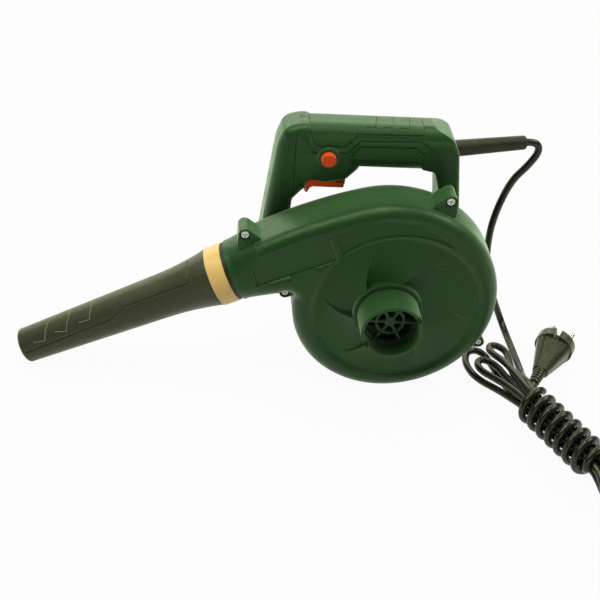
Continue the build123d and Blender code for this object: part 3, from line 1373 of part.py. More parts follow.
def main():
    front_half, rear_half = casing_halves()
    front_shell, rear_shell = handle_shells()
    pieces = {
        "front_casing": front_casing(front_half),
        "rear_casing": rear_casing(rear_half),
        "casing_screws_large": casing_screws(LARGE_BOSSES, LARGE_HEAD_RADIUS),
        "casing_screws_small": casing_screws(SMALL_BOSSES, SMALL_HEAD_RADIUS),
        "intake_collar": intake_collar(),
        "intake_grille": intake_grille(),
        "nozzle_seal": nozzle_seal(),
        "nozzle_ring": nozzle_ring(),
        "nozzle": nozzle(),
        "impeller": impeller(),
        "fan_washer": fan_washer(),
        "fan_nut": fan_nut(),
        "motor_shaft": motor_shaft(),
        "armature_core": armature_core(),
        "armature_windings": armature_windings(),
        "commutator": commutator(),
        "bearing_bracket": bearing_bracket(),
        "front_bearing": front_bearing(),
        "rear_bearing": rear_bearing(),
        "field_core": field_core(),
        "field_coils": field_coils(),
        "brush_holders": brush_holders(),
        "carbon_brushes": carbon_brushes(),
        "motor_housing": motor_housing(),
        "housing_screws": housing_screws(),
        "motor_end_cap": motor_end_cap(),
        "handle_front_shell": front_shell,
        "handle_rear_shell": rear_shell,
        "leg_screws": leg_screws(),
        "grip_screws": grip_screws(),
        "trigger": trigger(),
        "trigger_pin": trigger_pin(),
        "trigger_spring": trigger_spring(),
        "lock_button": lock_button(),
        "button_bezel": button_bezel(),
        "lock_spring": lock_spring(),
        "switch_body": switch_body(),
        "capacitor": capacitor(),
        "cord_clamp": cord_clamp(),
        "cord_clamp_screws": cord_clamp_screws(),
        "cord_guard": cord_guard(),
        "lead_tail": lead_tail(),
        "mains_lead": mains_lead(),
        "plug_relief": plug_relief(),
        "plug_body": plug_body(),
        "plug_pins": plug_pins(),
    }
    os.makedirs("parts", exist_ok=True)
    for name, piece in pieces.items():
        export_step(Pos(0, 0, AXIS_HEIGHT) * piece, os.path.join("parts", name + ".step"))


main()
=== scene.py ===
import json
import math

import bmesh
import bpy
from bpy.props import FloatProperty, FloatVectorProperty, IntProperty, PointerProperty
from bpy.types import Operator, Panel, PropertyGroup
from mathutils import Matrix, Vector
from mathutils.bvhtree import BVHTree

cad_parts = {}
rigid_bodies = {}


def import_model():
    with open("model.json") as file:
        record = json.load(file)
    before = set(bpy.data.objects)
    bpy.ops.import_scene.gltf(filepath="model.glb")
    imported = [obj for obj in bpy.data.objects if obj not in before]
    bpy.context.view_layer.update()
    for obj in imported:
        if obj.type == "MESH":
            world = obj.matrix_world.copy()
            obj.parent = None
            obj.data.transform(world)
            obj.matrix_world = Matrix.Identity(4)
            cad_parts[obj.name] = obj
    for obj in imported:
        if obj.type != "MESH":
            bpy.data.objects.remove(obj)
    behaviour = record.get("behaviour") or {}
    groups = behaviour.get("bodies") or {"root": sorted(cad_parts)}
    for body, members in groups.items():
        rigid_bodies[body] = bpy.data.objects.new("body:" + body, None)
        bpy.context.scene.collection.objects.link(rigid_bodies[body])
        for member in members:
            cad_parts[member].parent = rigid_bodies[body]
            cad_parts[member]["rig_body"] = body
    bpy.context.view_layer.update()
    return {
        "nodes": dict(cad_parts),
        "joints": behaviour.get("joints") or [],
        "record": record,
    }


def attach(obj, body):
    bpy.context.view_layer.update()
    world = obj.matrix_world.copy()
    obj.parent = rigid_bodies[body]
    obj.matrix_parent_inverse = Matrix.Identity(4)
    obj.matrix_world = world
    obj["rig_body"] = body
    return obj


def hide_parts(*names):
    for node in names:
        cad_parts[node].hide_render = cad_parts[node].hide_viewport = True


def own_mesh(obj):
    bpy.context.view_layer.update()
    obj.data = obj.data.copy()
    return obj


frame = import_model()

bl_info = {
    "name": "Leaf Blower",
    "version": (1, 0, 0),
    "blender": (4, 5, 0),
    "location": "View3D > Sidebar > Blower",
    "description": "Dresses the CAD model of a hand-held leaf blower and sets its stage",
    "category": "Object",
}

MM = 0.001
NODES = frame["nodes"]
JOINTS = {joint["name"]: joint for joint in frame["joints"]}
SLOTS = {part["node"]: part["material_slot"] for part in frame["record"]["subparts"]}
FAN_CENTRE = Vector(JOINTS["rotor_spin"]["pos_m"])
OUTLET_ROOT = Vector(JOINTS["nozzle_twist"]["pos_m"])
OUTLET_AXIS = Vector(JOINTS["nozzle_twist"]["axis"])
OUTLET_UP = Vector((0, 1, 0)).cross(OUTLET_AXIS)
FROM_FRONT = Vector((0, 1, 0))
FROM_BACK = Vector((0, -1, 0))
FROM_TOP = Vector((0, 0, -1))
FROM_BELOW = Vector((0, 0, 1))
FROM_LEFT = Vector((1, 0, 0))
CAST_START = 0.5
FULL_TURN = 360
WELD_DISTANCE = 0.002 * MM

# Parting lines, as depths along Y
SEAM_WIDTH = 0.7 * MM
CASING_SEAM = 0.0
HANDLE_SEAM = 43.5 * MM

# Finishes
STIPPLE = "stipple"
HANDLE_PLASTIC = "green_handle_plastic"
# Painted highlight: the material of the nozzle's corner marks, and how many times paler than the nozzle it
# is, for the light their raised edges catch
MARK_HIGHLIGHT_PLASTIC = "painted_highlight_mark_plastic"
MARK_HIGHLIGHT_PALENESS = 3
WHITE = (1.0, 1.0, 1.0)
GREEN_TINT = (0.66, 1.0, 0.52)
OLIVE_TINT = (0.95, 1.0, 0.62)
ORANGE_TINT = (1.0, 0.5, 0.3)
PLASTIC_GLOSS = 0.3
PLASTIC_SHEEN = 0.6
SHEEN_ROUGHNESS = 0.45
COVER_GLOSS = 0.42
MOTTLE = (0.86, 1.14)
RUBBED_EDGE = 1.7
# Painted shade in the gap of a parting line, as a share of the colour
SEAM_PAINTED_SHADE = 0.1
DUST = 2.2
PLASTIC_EDGE = 0.35 * MM
METAL_EDGE = 0.15 * MM
GRAIN_DEPTH = 0.03 * MM
STIPPLE_DEPTH = 0.35 * MM
SCRATCH_DEPTH = 0.02 * MM
COVER_DEPTH = 0.06 * MM

# Route of the mains lead, in millimetres from the fan centre
GUARD_END = (110.5, 54.3, 126.2)
GUARD_LEAD = (119.38, 55.54, 126.96)
LEAD_DROP = [
    (126.0, 56.8, 118.5), (119.5, 57.2, 103.0), (108.2, 58.5, 86.3), (102.0, 60.0, 57.5),
    (100.5, 62.0, 28.7), (105.6, 66.0, -7.1), (115.0, 70.5, -36.0), (127.0, 75.5, -60.0),
    (136.0, 75.0, -78.6), (139.5, 60.0, -84.7), (141.0, 30.0, -84.7), (142.0, 0.0, -84.7),
]

# Hank of the lead. Points are (along its axis, across it, up from it), in millimetres
HANK_START = Vector((134.6, -57.5, -69.7))
HANK_ALONG = Vector((0.461, -0.887, 0.0)).normalized()
HANK_ACROSS = Vector((0, 0, 1)).cross(HANK_ALONG)
STRAND_PITCH = 7.3
STRAND_START = -2.0
STRAND_END = 80.0
LAST_STRAND_END = 71.9
WRAP_START = (83.0, -211.6)
WRAP_END = (0.6, -320.0)
LEAD_IN = [(-35, 21.6, -6), (-22, 14.6, 0.6), (-11, 9.4, 3.4)]
FAR_LOOP_HIGH = [
    (92, 8.2, 3.6), (104, 13, 3), (113, 9.5, 8), (112, 1, 13), (102, -3.4, 13.2), (91, -0.8, 9.4),
]
NEAR_LOOP_RIGHT = [
    (-12, 2.8, 7), (-35, 9.3, 3.6), (-56, 15.2, -0.6), (-70, 14.6, -3.2), (-80, 17, -4.6),
    (-84.5, 23.6, -5.6), (-80.5, 30.4, -6.4), (-70, 32, -6.6), (-54, 22.5, -7), (-35, 13.4, -7.2),
    (-12, 8.8, -5.2),
]
FAR_LOOP_MIDDLE = [
    (91, 8.6, -4.8), (101, 13.4, -7.6), (111, 14, -6.4), (117, 8.5, -2.6), (114, 1, 0.8), (104, -1.6, 2.2),
    (92, 0.2, 1),
]
NEAR_LOOP_MIDDLE = [
    (-12, 1.2, -1), (-30, 4.4, -3.6), (-46, 6.6, -4.6), (-56, 8.2, -4.8), (-65.8, 6, -4.8), (-71, -1, -4.6),
    (-65.8, -8, -4.4), (-56, -10.2, -3.8), (-44, -8, -2.2), (-28, -5, -0.2), (-12, -5.8, 2.8),
]
FAR_LOOP_LONG = [
    (88, -6.3, 3.6), (98, -8.2, 1.6), (112, -14, -6), (125, -19, -12.4), (137, -21.5, -14.7),
    (145.5, -19.4, -14.7), (150, -12.5, -14.7), (145.5, -5.6, -14.7), (136, -3.4, -14.7), (121, -6.5, -14.7),
    (105, -6, -13.8), (92, -1.6, -10.4),
]
NEAR_LOOP_LEFT = [
    (-14, 0.4, -8.8), (-34, 3.2, -11.4), (-56, 9.5, -13), (-72, 14.6, -14.2), (-84, 17.5, -14.7),
    (-92.5, 14.5, -14.7), (-94, 6, -14.7), (-87.5, -3, -14.7), (-75, -9.5, -14.7), (-57, -12.5, -13.2),
    (-34, -7.2, -10), (-14, -6.8, -5.8),
]
WRAP_LEAD_IN = [(79.2, -7.4, -4.9), (85.4, -12.9, 0)]
PLUG_LEAD = [(-4.8, 15.4, 3), (-13, 18.4, -4), (-20, 22.4, -7.6), (-26.3, 28, -8.2)]

# Lines moulded in the handle, as (x, z) in millimetres from the fan centre
GRIP_EDGE = [(-78.2, 139.0), (-74.0, 130.2), (-70.2, 126.6), (-47.6, 127.4), (-38.4, 137.8), (16.0, 139.8)]
GRIP_STEP = [
    (-82.1, 135.9), (-74.4, 120.9), (-71.5, 119.9), (-45.4, 121.3), (-35.9, 133.0), (14.3, 135.6),
    (25.1, 128.9),
]
GRIP_PANEL = [(-41.7, 119.2), (-35.3, 127.9), (11.0, 129.9), (18.3, 123.8), (18.8, 119.0)]
LEG_VALLEY = [(-88.3, 137.5), (-88.3, 123.0), (-87.0, 98.0), (-85.8, 78.0)]


class BlowerFinishes(PropertyGroup):
    """Colours and gloss of the blower's materials."""

    casing_green: FloatVectorProperty(
        name="Casing green", description="Colour of the casing and the handle", subtype="COLOR",
        default=(0.009, 0.043, 0.01), min=0, max=1)
    nozzle_olive: FloatVectorProperty(
        name="Nozzle olive", description="Colour of the nozzle", subtype="COLOR",
        default=(0.034, 0.038, 0.022), min=0, max=1)
    band_gold: FloatVectorProperty(
        name="Band gold", description="Colour of the nozzle's band", subtype="COLOR",
        default=(0.50, 0.35, 0.105), min=0, max=1)
    control_orange: FloatVectorProperty(
        name="Control orange", description="Colour of the lock button and the trigger", subtype="COLOR",
        default=(0.72, 0.07, 0.008), min=0, max=1)
    lead_black: FloatVectorProperty(
        name="Lead black", description="Colour of the mains lead and its plug", subtype="COLOR",
        default=(0.011, 0.013, 0.008), min=0, max=1)
    plastic_roughness: FloatProperty(
        name="Plastic roughness", description="Roughness of the moulded plastic", subtype="FACTOR",
        default=0.36, min=0, max=1)


class BlowerLead(PropertyGroup):
    """Sizes of the mains lead."""

    diameter: FloatProperty(
        name="Diameter", description="Outside diameter of the lead", default=6.5 * MM, unit="LENGTH")
    length: FloatProperty(
        name="Length", description="Length of the lead from the guard to the plug",
        default=2.5316, unit="LENGTH")
    wrap_radius: FloatProperty(
        name="Wrap radius", description="Radius of the turns round the hank",
        default=14.7 * MM, unit="LENGTH")
    wrap_turns: IntProperty(
        name="Wrap turns", description="Whole turns of the lead round the hank", default=7)
    wrap_points: IntProperty(
        name="Points per turn", description="Control points in one wrap", default=16, min=12)


class BlowerMouldings(PropertyGroup):
    """Sizes of the lines and marks moulded in the plastic."""

    groove_radius: FloatProperty(
        name="Groove radius", description="Radius of the grooves in the handle and the nozzle",
        default=0.75 * MM, unit="LENGTH")
    mark_radius: FloatProperty(
        name="Mark radius", description="Radius of the corner marks", default=0.5 * MM, unit="LENGTH")
    spacing: FloatProperty(
        name="Spacing", description="Distance between points of a moulded line",
        default=1.5 * MM, unit="LENGTH")


class BlowerCasing(PropertyGroup):
    """Sizes of the casing's panels and of the swirl in its dish."""

    panel_depth: FloatProperty(
        name="Panel depth", description="Depth of the label panel and the crescent",
        default=0.9 * MM, unit="LENGTH")
    rim_width: FloatProperty(
        name="Rim width", description="Width of the rim between crescent and dish",
        default=1.2 * MM, unit="LENGTH")
    cone_rise: FloatProperty(
        name="Cone rise", description="Rise of the dish floor towards the collar",
        default=1.2 * MM, unit="LENGTH")
    lobe_rise: FloatProperty(
        name="Lobe rise", description="Height of the swirl's lobes at the collar",
        default=5.0 * MM, unit="LENGTH")
    lobes: IntProperty(name="Lobes", description="Lobes of the swirl", default=6, min=2)
    lobe_start: FloatProperty(
        name="First crest", description="Angle of one crest at the collar, in degrees", default=75.0)
    lobe_lean: FloatProperty(
        name="Lean", description="Degrees that a crest falls back to the rim", default=26.0)
    crest_angle: FloatProperty(
        name="Crest angle", description="Angle in degrees that counts as a crest", default=24.0)


class BlowerStage(PropertyGroup):
    """Camera, lamps and floor."""

    lens: FloatProperty(
        name="Lens", description="Focal length on a 36 mm sensor", default=69.0, unit="CAMERA")
    floor_colour: FloatVectorProperty(
        name="Floor", description="Colour of the floor", subtype="COLOR",
        default=(0.52, 0.52, 0.515), min=0, max=1)
    floor_glow: FloatProperty(
        name="Floor glow", description="Share of plain white in the floor that the camera sees",
        subtype="FACTOR", default=0.95, min=0, max=1)
    overhead_power: FloatProperty(
        name="Overhead lamps", description="Power of each of the lamps above", default=8.5, unit="POWER")
    back_power: FloatProperty(
        name="Back lamp", description="Power of the lamp behind", default=20.0, unit="POWER")
    fill_power: FloatProperty(
        name="Fill lamp", description="Power of the lamp in front", default=2.6, unit="POWER")
    sky: FloatProperty(name="Sky", description="Strength of the even light all round", default=0.12, min=0)


def fan_point(x, y, z):
    """Point in the row frame from millimetres about the fan centre."""
    return FAN_CENTRE + Vector((x, y, z)) * MM


def hank_point(along, across, up):
    """Point of the hank in the row frame, from millimetres along, across and up from its start."""
    return FAN_CENTRE + (HANK_START + HANK_ALONG * along + HANK_ACROSS * across + Vector((0, 0, up))) * MM


def link(name, data):
    piece = bpy.data.objects.new(name, data)
    bpy.context.scene.collection.objects.link(piece)
    return piece


def socket_value(node, name, value):
    node.inputs[name].default_value = value


class Finish:
    """A new material with its shader, and short ways to add texture nodes to it."""

    def __init__(self, name):
        self.material = bpy.data.materials.new(name)
        self.material.use_nodes = True
        self.tree = self.material.node_tree
        self.tree.nodes.clear()
        self.output = self.tree.nodes.new("ShaderNodeOutputMaterial")
        self.shader = self.tree.nodes.new("ShaderNodeBsdfPrincipled")
        self.join(self.shader.outputs["BSDF"], self.output.inputs["Surface"])
        self.place = self.tree.nodes.new("ShaderNodeTexCoord").outputs["Object"]

    def join(self, source, target):
        self.tree.links.new(source, target)

    def set(self, name, value):
        socket_value(self.shader, name, value)

    def noise(self, scale, detail=3.0):
        node = self.tree.nodes.new("ShaderNodeTexNoise")
        self.join(self.place, node.inputs["Vector"])
        socket_value(node, "Scale", scale)
        socket_value(node, "Detail", detail)
        return node.outputs["Fac"]

    def remap(self, value, low, high, to_low, to_high):
        node = self.tree.nodes.new("ShaderNodeMapRange")
        self.join(value, node.inputs["Value"])
        for name, number in (("From Min", low), ("From Max", high), ("To Min", to_low), ("To Max", to_high)):
            socket_value(node, name, number)
        return node.outputs["Result"]

    def total(self, first, second):
        """Sum of two sockets, at most one."""
        node = self.tree.nodes.new("ShaderNodeMath")
        node.use_clamp = True
        self.join(first, node.inputs[0])
        self.join(second, node.inputs[1])
        return node.outputs["Value"]

    def blend(self, factor, first, second):
        """Mix of two colours, each a socket or three numbers."""
        node = self.tree.nodes.new("ShaderNodeMix")
        node.data_type = "RGBA"
        self.join(factor, node.inputs["Factor"])
        for socket, colour in ((node.inputs["A"], first), (node.inputs["B"], second)):
            if hasattr(colour, "links"):
                self.join(colour, socket)
            else:
                socket.default_value = (*colour, 1)
        return node.outputs["Result"]

    def uneven_gloss(self, scale, low, high):
        """Roughness that wanders between two values."""
        self.join(self.remap(self.noise(scale), 0.3, 0.7, low, high), self.shader.inputs["Roughness"])

    def geometry(self, name):
        return self.tree.nodes.new("ShaderNodeNewGeometry").outputs[name]

    def edges(self, low=0.51, high=0.58):
        """Zero on flat stretches, one on sharp outer edges."""
        return self.remap(self.geometry("Pointiness"), low, high, 0, 1)

    def marked(self, name):
        """Value of a mark that some faces of a mesh carry."""
        node = self.tree.nodes.new("ShaderNodeAttribute")
        node.attribute_name = name
        return node.outputs["Fac"]

    def seam(self, depth):
        """One on a hair line in the plane at a depth along Y, zero away from it."""
        split = self.tree.nodes.new("ShaderNodeSeparateXYZ")
        self.join(self.place, split.inputs["Vector"])
        ramp = self.tree.nodes.new("ShaderNodeValToRGB")
        ramp.color_ramp.elements[1].color = (0, 0, 0, 1)
        ramp.color_ramp.elements.new(0.5).color = (1, 1, 1, 1)
        across = self.remap(split.outputs["Y"], depth - SEAM_WIDTH, depth + SEAM_WIDTH, 0, 1)
        self.join(across, ramp.inputs["Fac"])
        return ramp.outputs["Color"]

    def soft_edges(self, radius):
        """Normals of the surface with its edges rounded."""
        node = self.tree.nodes.new("ShaderNodeBevel")
        node.samples = 6
        socket_value(node, "Radius", radius)
        return node.outputs["Normal"]

    def bump(self, height, distance, normal=None, share=None):
        """Normals raised by a height, on other normals and by a share if these are given."""
        node = self.tree.nodes.new("ShaderNodeBump")
        self.join(height, node.inputs["Height"])
        socket_value(node, "Distance", distance)
        if normal:
            self.join(normal, node.inputs["Normal"])
        if share:
            self.join(share, node.inputs["Strength"])
        self.join(node.outputs["Normal"], self.shader.inputs["Normal"])
        return node.outputs["Normal"]


def scaled(colour, factor):
    return tuple(channel * factor for channel in colour)


def moulded_plastic(name, colour, roughness, seam=None, tint=WHITE):
    """Satin plastic: mottled, paler on rubbed edges, with mould grain and painted shade along the parting
    line.
    """
    finish = Finish(name)
    finish.set("Specular IOR Level", PLASTIC_GLOSS)
    finish.set("Specular Tint", (*tint, 1))
    finish.set("Sheen Weight", PLASTIC_SHEEN)
    finish.set("Sheen Roughness", SHEEN_ROUGHNESS)
    finish.set("Sheen Tint", (*tint, 1))
    dark, light = MOTTLE
    shade = finish.blend(finish.noise(45), scaled(colour, dark), scaled(colour, light))
    shade = finish.blend(finish.edges(), shade, scaled(colour, RUBBED_EDGE))
    normal = finish.soft_edges(PLASTIC_EDGE)
    if seam is not None:
        # Painted shade: the parting gap is darkened in the colour, and its edges are left unrounded there
        gap = finish.seam(seam)
        shade = finish.blend(gap, shade, scaled(colour, SEAM_PAINTED_SHADE))
        normal = finish.blend(gap, normal, finish.geometry("Normal"))
    finish.join(shade, finish.shader.inputs["Base Color"])
    finish.uneven_gloss(160, roughness - 0.05, roughness + 0.06)
    normal = finish.bump(finish.noise(2600, 2), GRAIN_DEPTH, normal)
    finish.bump(finish.noise(1300, 1), STIPPLE_DEPTH, normal, finish.marked(STIPPLE))
    return finish.material


def metal(name, colour, roughness):
    """Plated or turned metal with fine scratches."""
    finish = Finish(name)
    finish.set("Metallic", 1.0)
    shade = finish.blend(finish.noise(300), scaled(colour, 0.8), colour)
    finish.join(shade, finish.shader.inputs["Base Color"])
    finish.uneven_gloss(900, roughness - 0.08, roughness + 0.1)
    finish.bump(finish.noise(1800), SCRATCH_DEPTH, finish.soft_edges(METAL_EDGE))
    return finish.material


def soft_cover(name, colour, roughness):
    """Flexible black cover of the lead, faintly dusty."""
    finish = Finish(name)
    finish.set("Specular IOR Level", COVER_GLOSS)
    finish.set("Specular Tint", (*OLIVE_TINT, 1))
    patches = finish.remap(finish.noise(70, 5), 0.45, 0.8, 0, 1)
    finish.join(finish.blend(patches, colour, scaled(colour, DUST)), finish.shader.inputs["Base Color"])
    finish.uneven_gloss(240, roughness - 0.06, roughness + 0.1)
    finish.bump(finish.noise(900, 2), COVER_DEPTH)
    return finish.material


def make_finishes():
    """One material for each slot of the record."""
    choice = bpy.context.scene.blower_finishes
    satin = choice.plastic_roughness
    green = tuple(choice.casing_green)
    olive = tuple(choice.nozzle_olive)
    orange = tuple(choice.control_orange)
    black = tuple(choice.lead_black)
    return {
        "casing_green": moulded_plastic("green_casing_plastic", green, satin, CASING_SEAM, GREEN_TINT),
        "nozzle_dark": moulded_plastic("olive_nozzle_plastic", olive, satin + 0.04, None, OLIVE_TINT),
        "ring_yellow": moulded_plastic("gold_band_plastic", tuple(choice.band_gold), satin),
        "seal_black": soft_cover("black_rubber", black, 0.5),
        "grille_dark": moulded_plastic("dark_grille_plastic", scaled(green, 0.6), satin, None, GREEN_TINT),
        "trigger_red": moulded_plastic("orange_control_plastic", orange, 0.3, None, ORANGE_TINT),
        "cord_black": soft_cover("black_lead_cover", black, 0.24),
        "plug_black": moulded_plastic("black_plug_plastic", scaled(black, 1.3), 0.3, None, OLIVE_TINT),
        "screw_zinc": metal("zinc_plated_steel", (0.6, 0.62, 0.56), 0.3),
        "steel": metal("turned_steel", (0.5, 0.5, 0.5), 0.3),
        "spring_steel": metal("spring_wire", (0.45, 0.45, 0.45), 0.28),
        "lamination": metal("stacked_steel_sheet", (0.25, 0.25, 0.26), 0.5),
        "copper": metal("copper", (0.72, 0.33, 0.16), 0.3),
        "carbon": moulded_plastic("carbon", (0.02, 0.02, 0.02), 0.6),
        "inner_plastic": moulded_plastic("black_inner_plastic", (0.03, 0.03, 0.03), 0.5),
        "fan_plastic": moulded_plastic("grey_fan_plastic", (0.07, 0.07, 0.07), 0.45),
        "pin_nickel": metal("nickel_plated_brass", (0.72, 0.69, 0.62), 0.2),
    }


def wear(piece, slot, finish=None):
    """Gives a piece the material of a slot, or a finish of its own."""
    piece.data.materials.clear()
    piece.data.materials.append(bpy.data.materials[finish or bpy.context.scene[slot]])


def stipple(piece, chosen):
    """Marks the faces that a test of their middle and normal chooses for a stippled texture."""
    marks = piece.data.attributes.new(STIPPLE, "FLOAT", "FACE")
    marks.data.foreach_set("value", [float(chosen(face.center, face.normal)) for face in piece.data.polygons])


def apply_modifiers(piece):
    """Replaces the piece's mesh by its mesh with all modifiers applied."""
    ready = piece.evaluated_get(bpy.context.evaluated_depsgraph_get())
    mesh = bpy.data.meshes.new_from_object(ready)
    piece.modifiers.clear()
    piece.data = mesh


def prism(outline, near, far):
    """Closed prism of an outline in X and Z between two depths along Y, all in millimetres."""
    mesh = bmesh.new()
    ends = [[mesh.verts.new(fan_point(x, depth, z)) for x, z in outline] for depth in (near, far)]
    for index in range(len(outline)):
        before = index - 1
        mesh.faces.new((ends[0][before], ends[0][index], ends[1][index], ends[1][before]))
    for end in ends:
        mesh.faces.new(end)
    bmesh.ops.recalc_face_normals(mesh, faces=mesh.faces)
    return mesh


def block(centre, sides, lengths):
    """Closed box about a centre, with its three side directions and its lengths along them."""
    mesh = bmesh.new()
    turn = Matrix([side * length for side, length in zip(sides, lengths)]).transposed().to_4x4()
    bmesh.ops.create_cube(mesh, matrix=Matrix.Translation(centre) @ turn)
    bmesh.ops.recalc_face_normals(mesh, faces=mesh.faces)
    return mesh


def ring_solid(loops):
    """Closed ring through loops of points, the last loop joined to the first."""
    mesh = bmesh.new()
    rows = [[mesh.verts.new(point) for point in loop] for loop in loops]
    for index, row in enumerate(rows):
        last = rows[index - 1]
        for step in range(len(row)):
            mesh.faces.new((last[step - 1], last[step], row[step], row[step - 1]))
    bmesh.ops.recalc_face_normals(mesh, faces=mesh.faces)
    return mesh


def spoke(radius, degrees):
    """Place in X and Z at a radius and an angle."""
    return Vector((radius * math.cos(math.radians(degrees)), radius * math.sin(math.radians(degrees))))


def arc_through(first, middle, last, steps):
    """Points in X and Z along the circle through three."""
    a, b, c = Vector(first), Vector(middle), Vector(last)
    ab, ac = b - a, c - a
    cross = 2 * (ab.x * ac.y - ab.y * ac.x)
    centre = a + Vector((ac.y * ab.length_squared - ab.y * ac.length_squared,
                         ab.x * ac.length_squared - ac.x * ab.length_squared)) / cross
    start = a - centre
    sweep = start.angle_signed(c - centre)
    return [centre + Matrix.Rotation(-sweep * step / steps, 2) @ start for step in range(steps + 1)]


def rod(points, radius, sides=10):
    """Closed round rod along a list of points."""
    mesh = bmesh.new()
    rings = []
    side = None
    for index, point in enumerate(points):
        ahead = points[min(index + 1, len(points) - 1)] - points[max(index - 1, 0)]
        ahead.normalize()
        if side is None:
            side = ahead.orthogonal().normalized()
        side = (side - ahead * side.dot(ahead)).normalized()
        lift = ahead.cross(side)
        ring = []
        for step in range(sides):
            angle = 2 * math.pi * step / sides
            ring.append(mesh.verts.new(point + (side * math.cos(angle) + lift * math.sin(angle)) * radius))
        rings.append(ring)
    for first, second in zip(rings, rings[1:]):
        for step in range(sides):
            after = (step + 1) % sides
            mesh.faces.new((first[step], first[after], second[after], second[step]))
    mesh.faces.new(list(reversed(rings[0])))
    mesh.faces.new(rings[-1])
    return mesh


def merged(meshes, name):
    """One object from several closed meshes."""
    whole = bmesh.new()
    for mesh in meshes:
        part = bpy.data.meshes.new(name)
        mesh.to_mesh(part)
        mesh.free()
        whole.from_mesh(part)
        bpy.data.meshes.remove(part)
    data = bpy.data.meshes.new(name)
    whole.to_mesh(data)
    whole.free()
    return link(name, data)


def surface_of(*nodes):
    """Search tree over the CAD nodes' faces."""
    corners = []
    faces = []
    for node in nodes:
        mesh = NODES[node].data
        start = len(corners)
        corners += [vertex.co.copy() for vertex in mesh.vertices]
        faces += [[start + index for index in face.vertices] for face in mesh.polygons]
    return BVHTree.FromPolygons(corners, faces)


def laid_on(surface, points, direction, spacing):
    """Points every spacing along a line, moved on to the surface along a direction."""
    spots = []
    for start, end in zip(points, points[1:]):
        count = max(1, math.ceil((end - start).length / spacing))
        spots += [start.lerp(end, step / count) for step in range(count)]
    spots.append(points[-1])
    laid = []
    for spot in spots:
        hit = surface.ray_cast(spot - direction * CAST_START, direction)[0]
        if hit is None:
            raise RuntimeError(f"no surface under {tuple(spot)}")
        laid.append(hit)
    return laid


def carved(node, cutters, finish=None, sharp_angle=32.0):
    """Copy of a CAD node with cutters taken out of it, which stands for the node."""
    piece = link(f"{node}_moulded", NODES[node].data.copy())
    mesh = bmesh.new()
    mesh.from_mesh(piece.data)
    bmesh.ops.remove_doubles(mesh, verts=mesh.verts, dist=WELD_DISTANCE)
    mesh.to_mesh(piece.data)
    mesh.free()
    for cutter in cutters:
        cut = piece.modifiers.new("cut", "BOOLEAN")
        cut.object = cutter
        cut.solver = "EXACT"
        cut.use_self = True
    apply_modifiers(piece)
    piece.data.validate()
    piece.data.set_sharp_from_angle(angle=math.radians(sharp_angle))
    piece.data.polygons.foreach_set("use_smooth", [True] * len(piece.data.polygons))
    piece.modifiers.new("even shading", "WEIGHTED_NORMAL").keep_sharp = True
    apply_modifiers(piece)
    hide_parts(node)
    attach(piece, NODES[node]["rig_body"])
    wear(piece, SLOTS[node], finish)
    return piece


def discard(*pieces):
    for piece in pieces:
        bpy.data.objects.remove(piece)


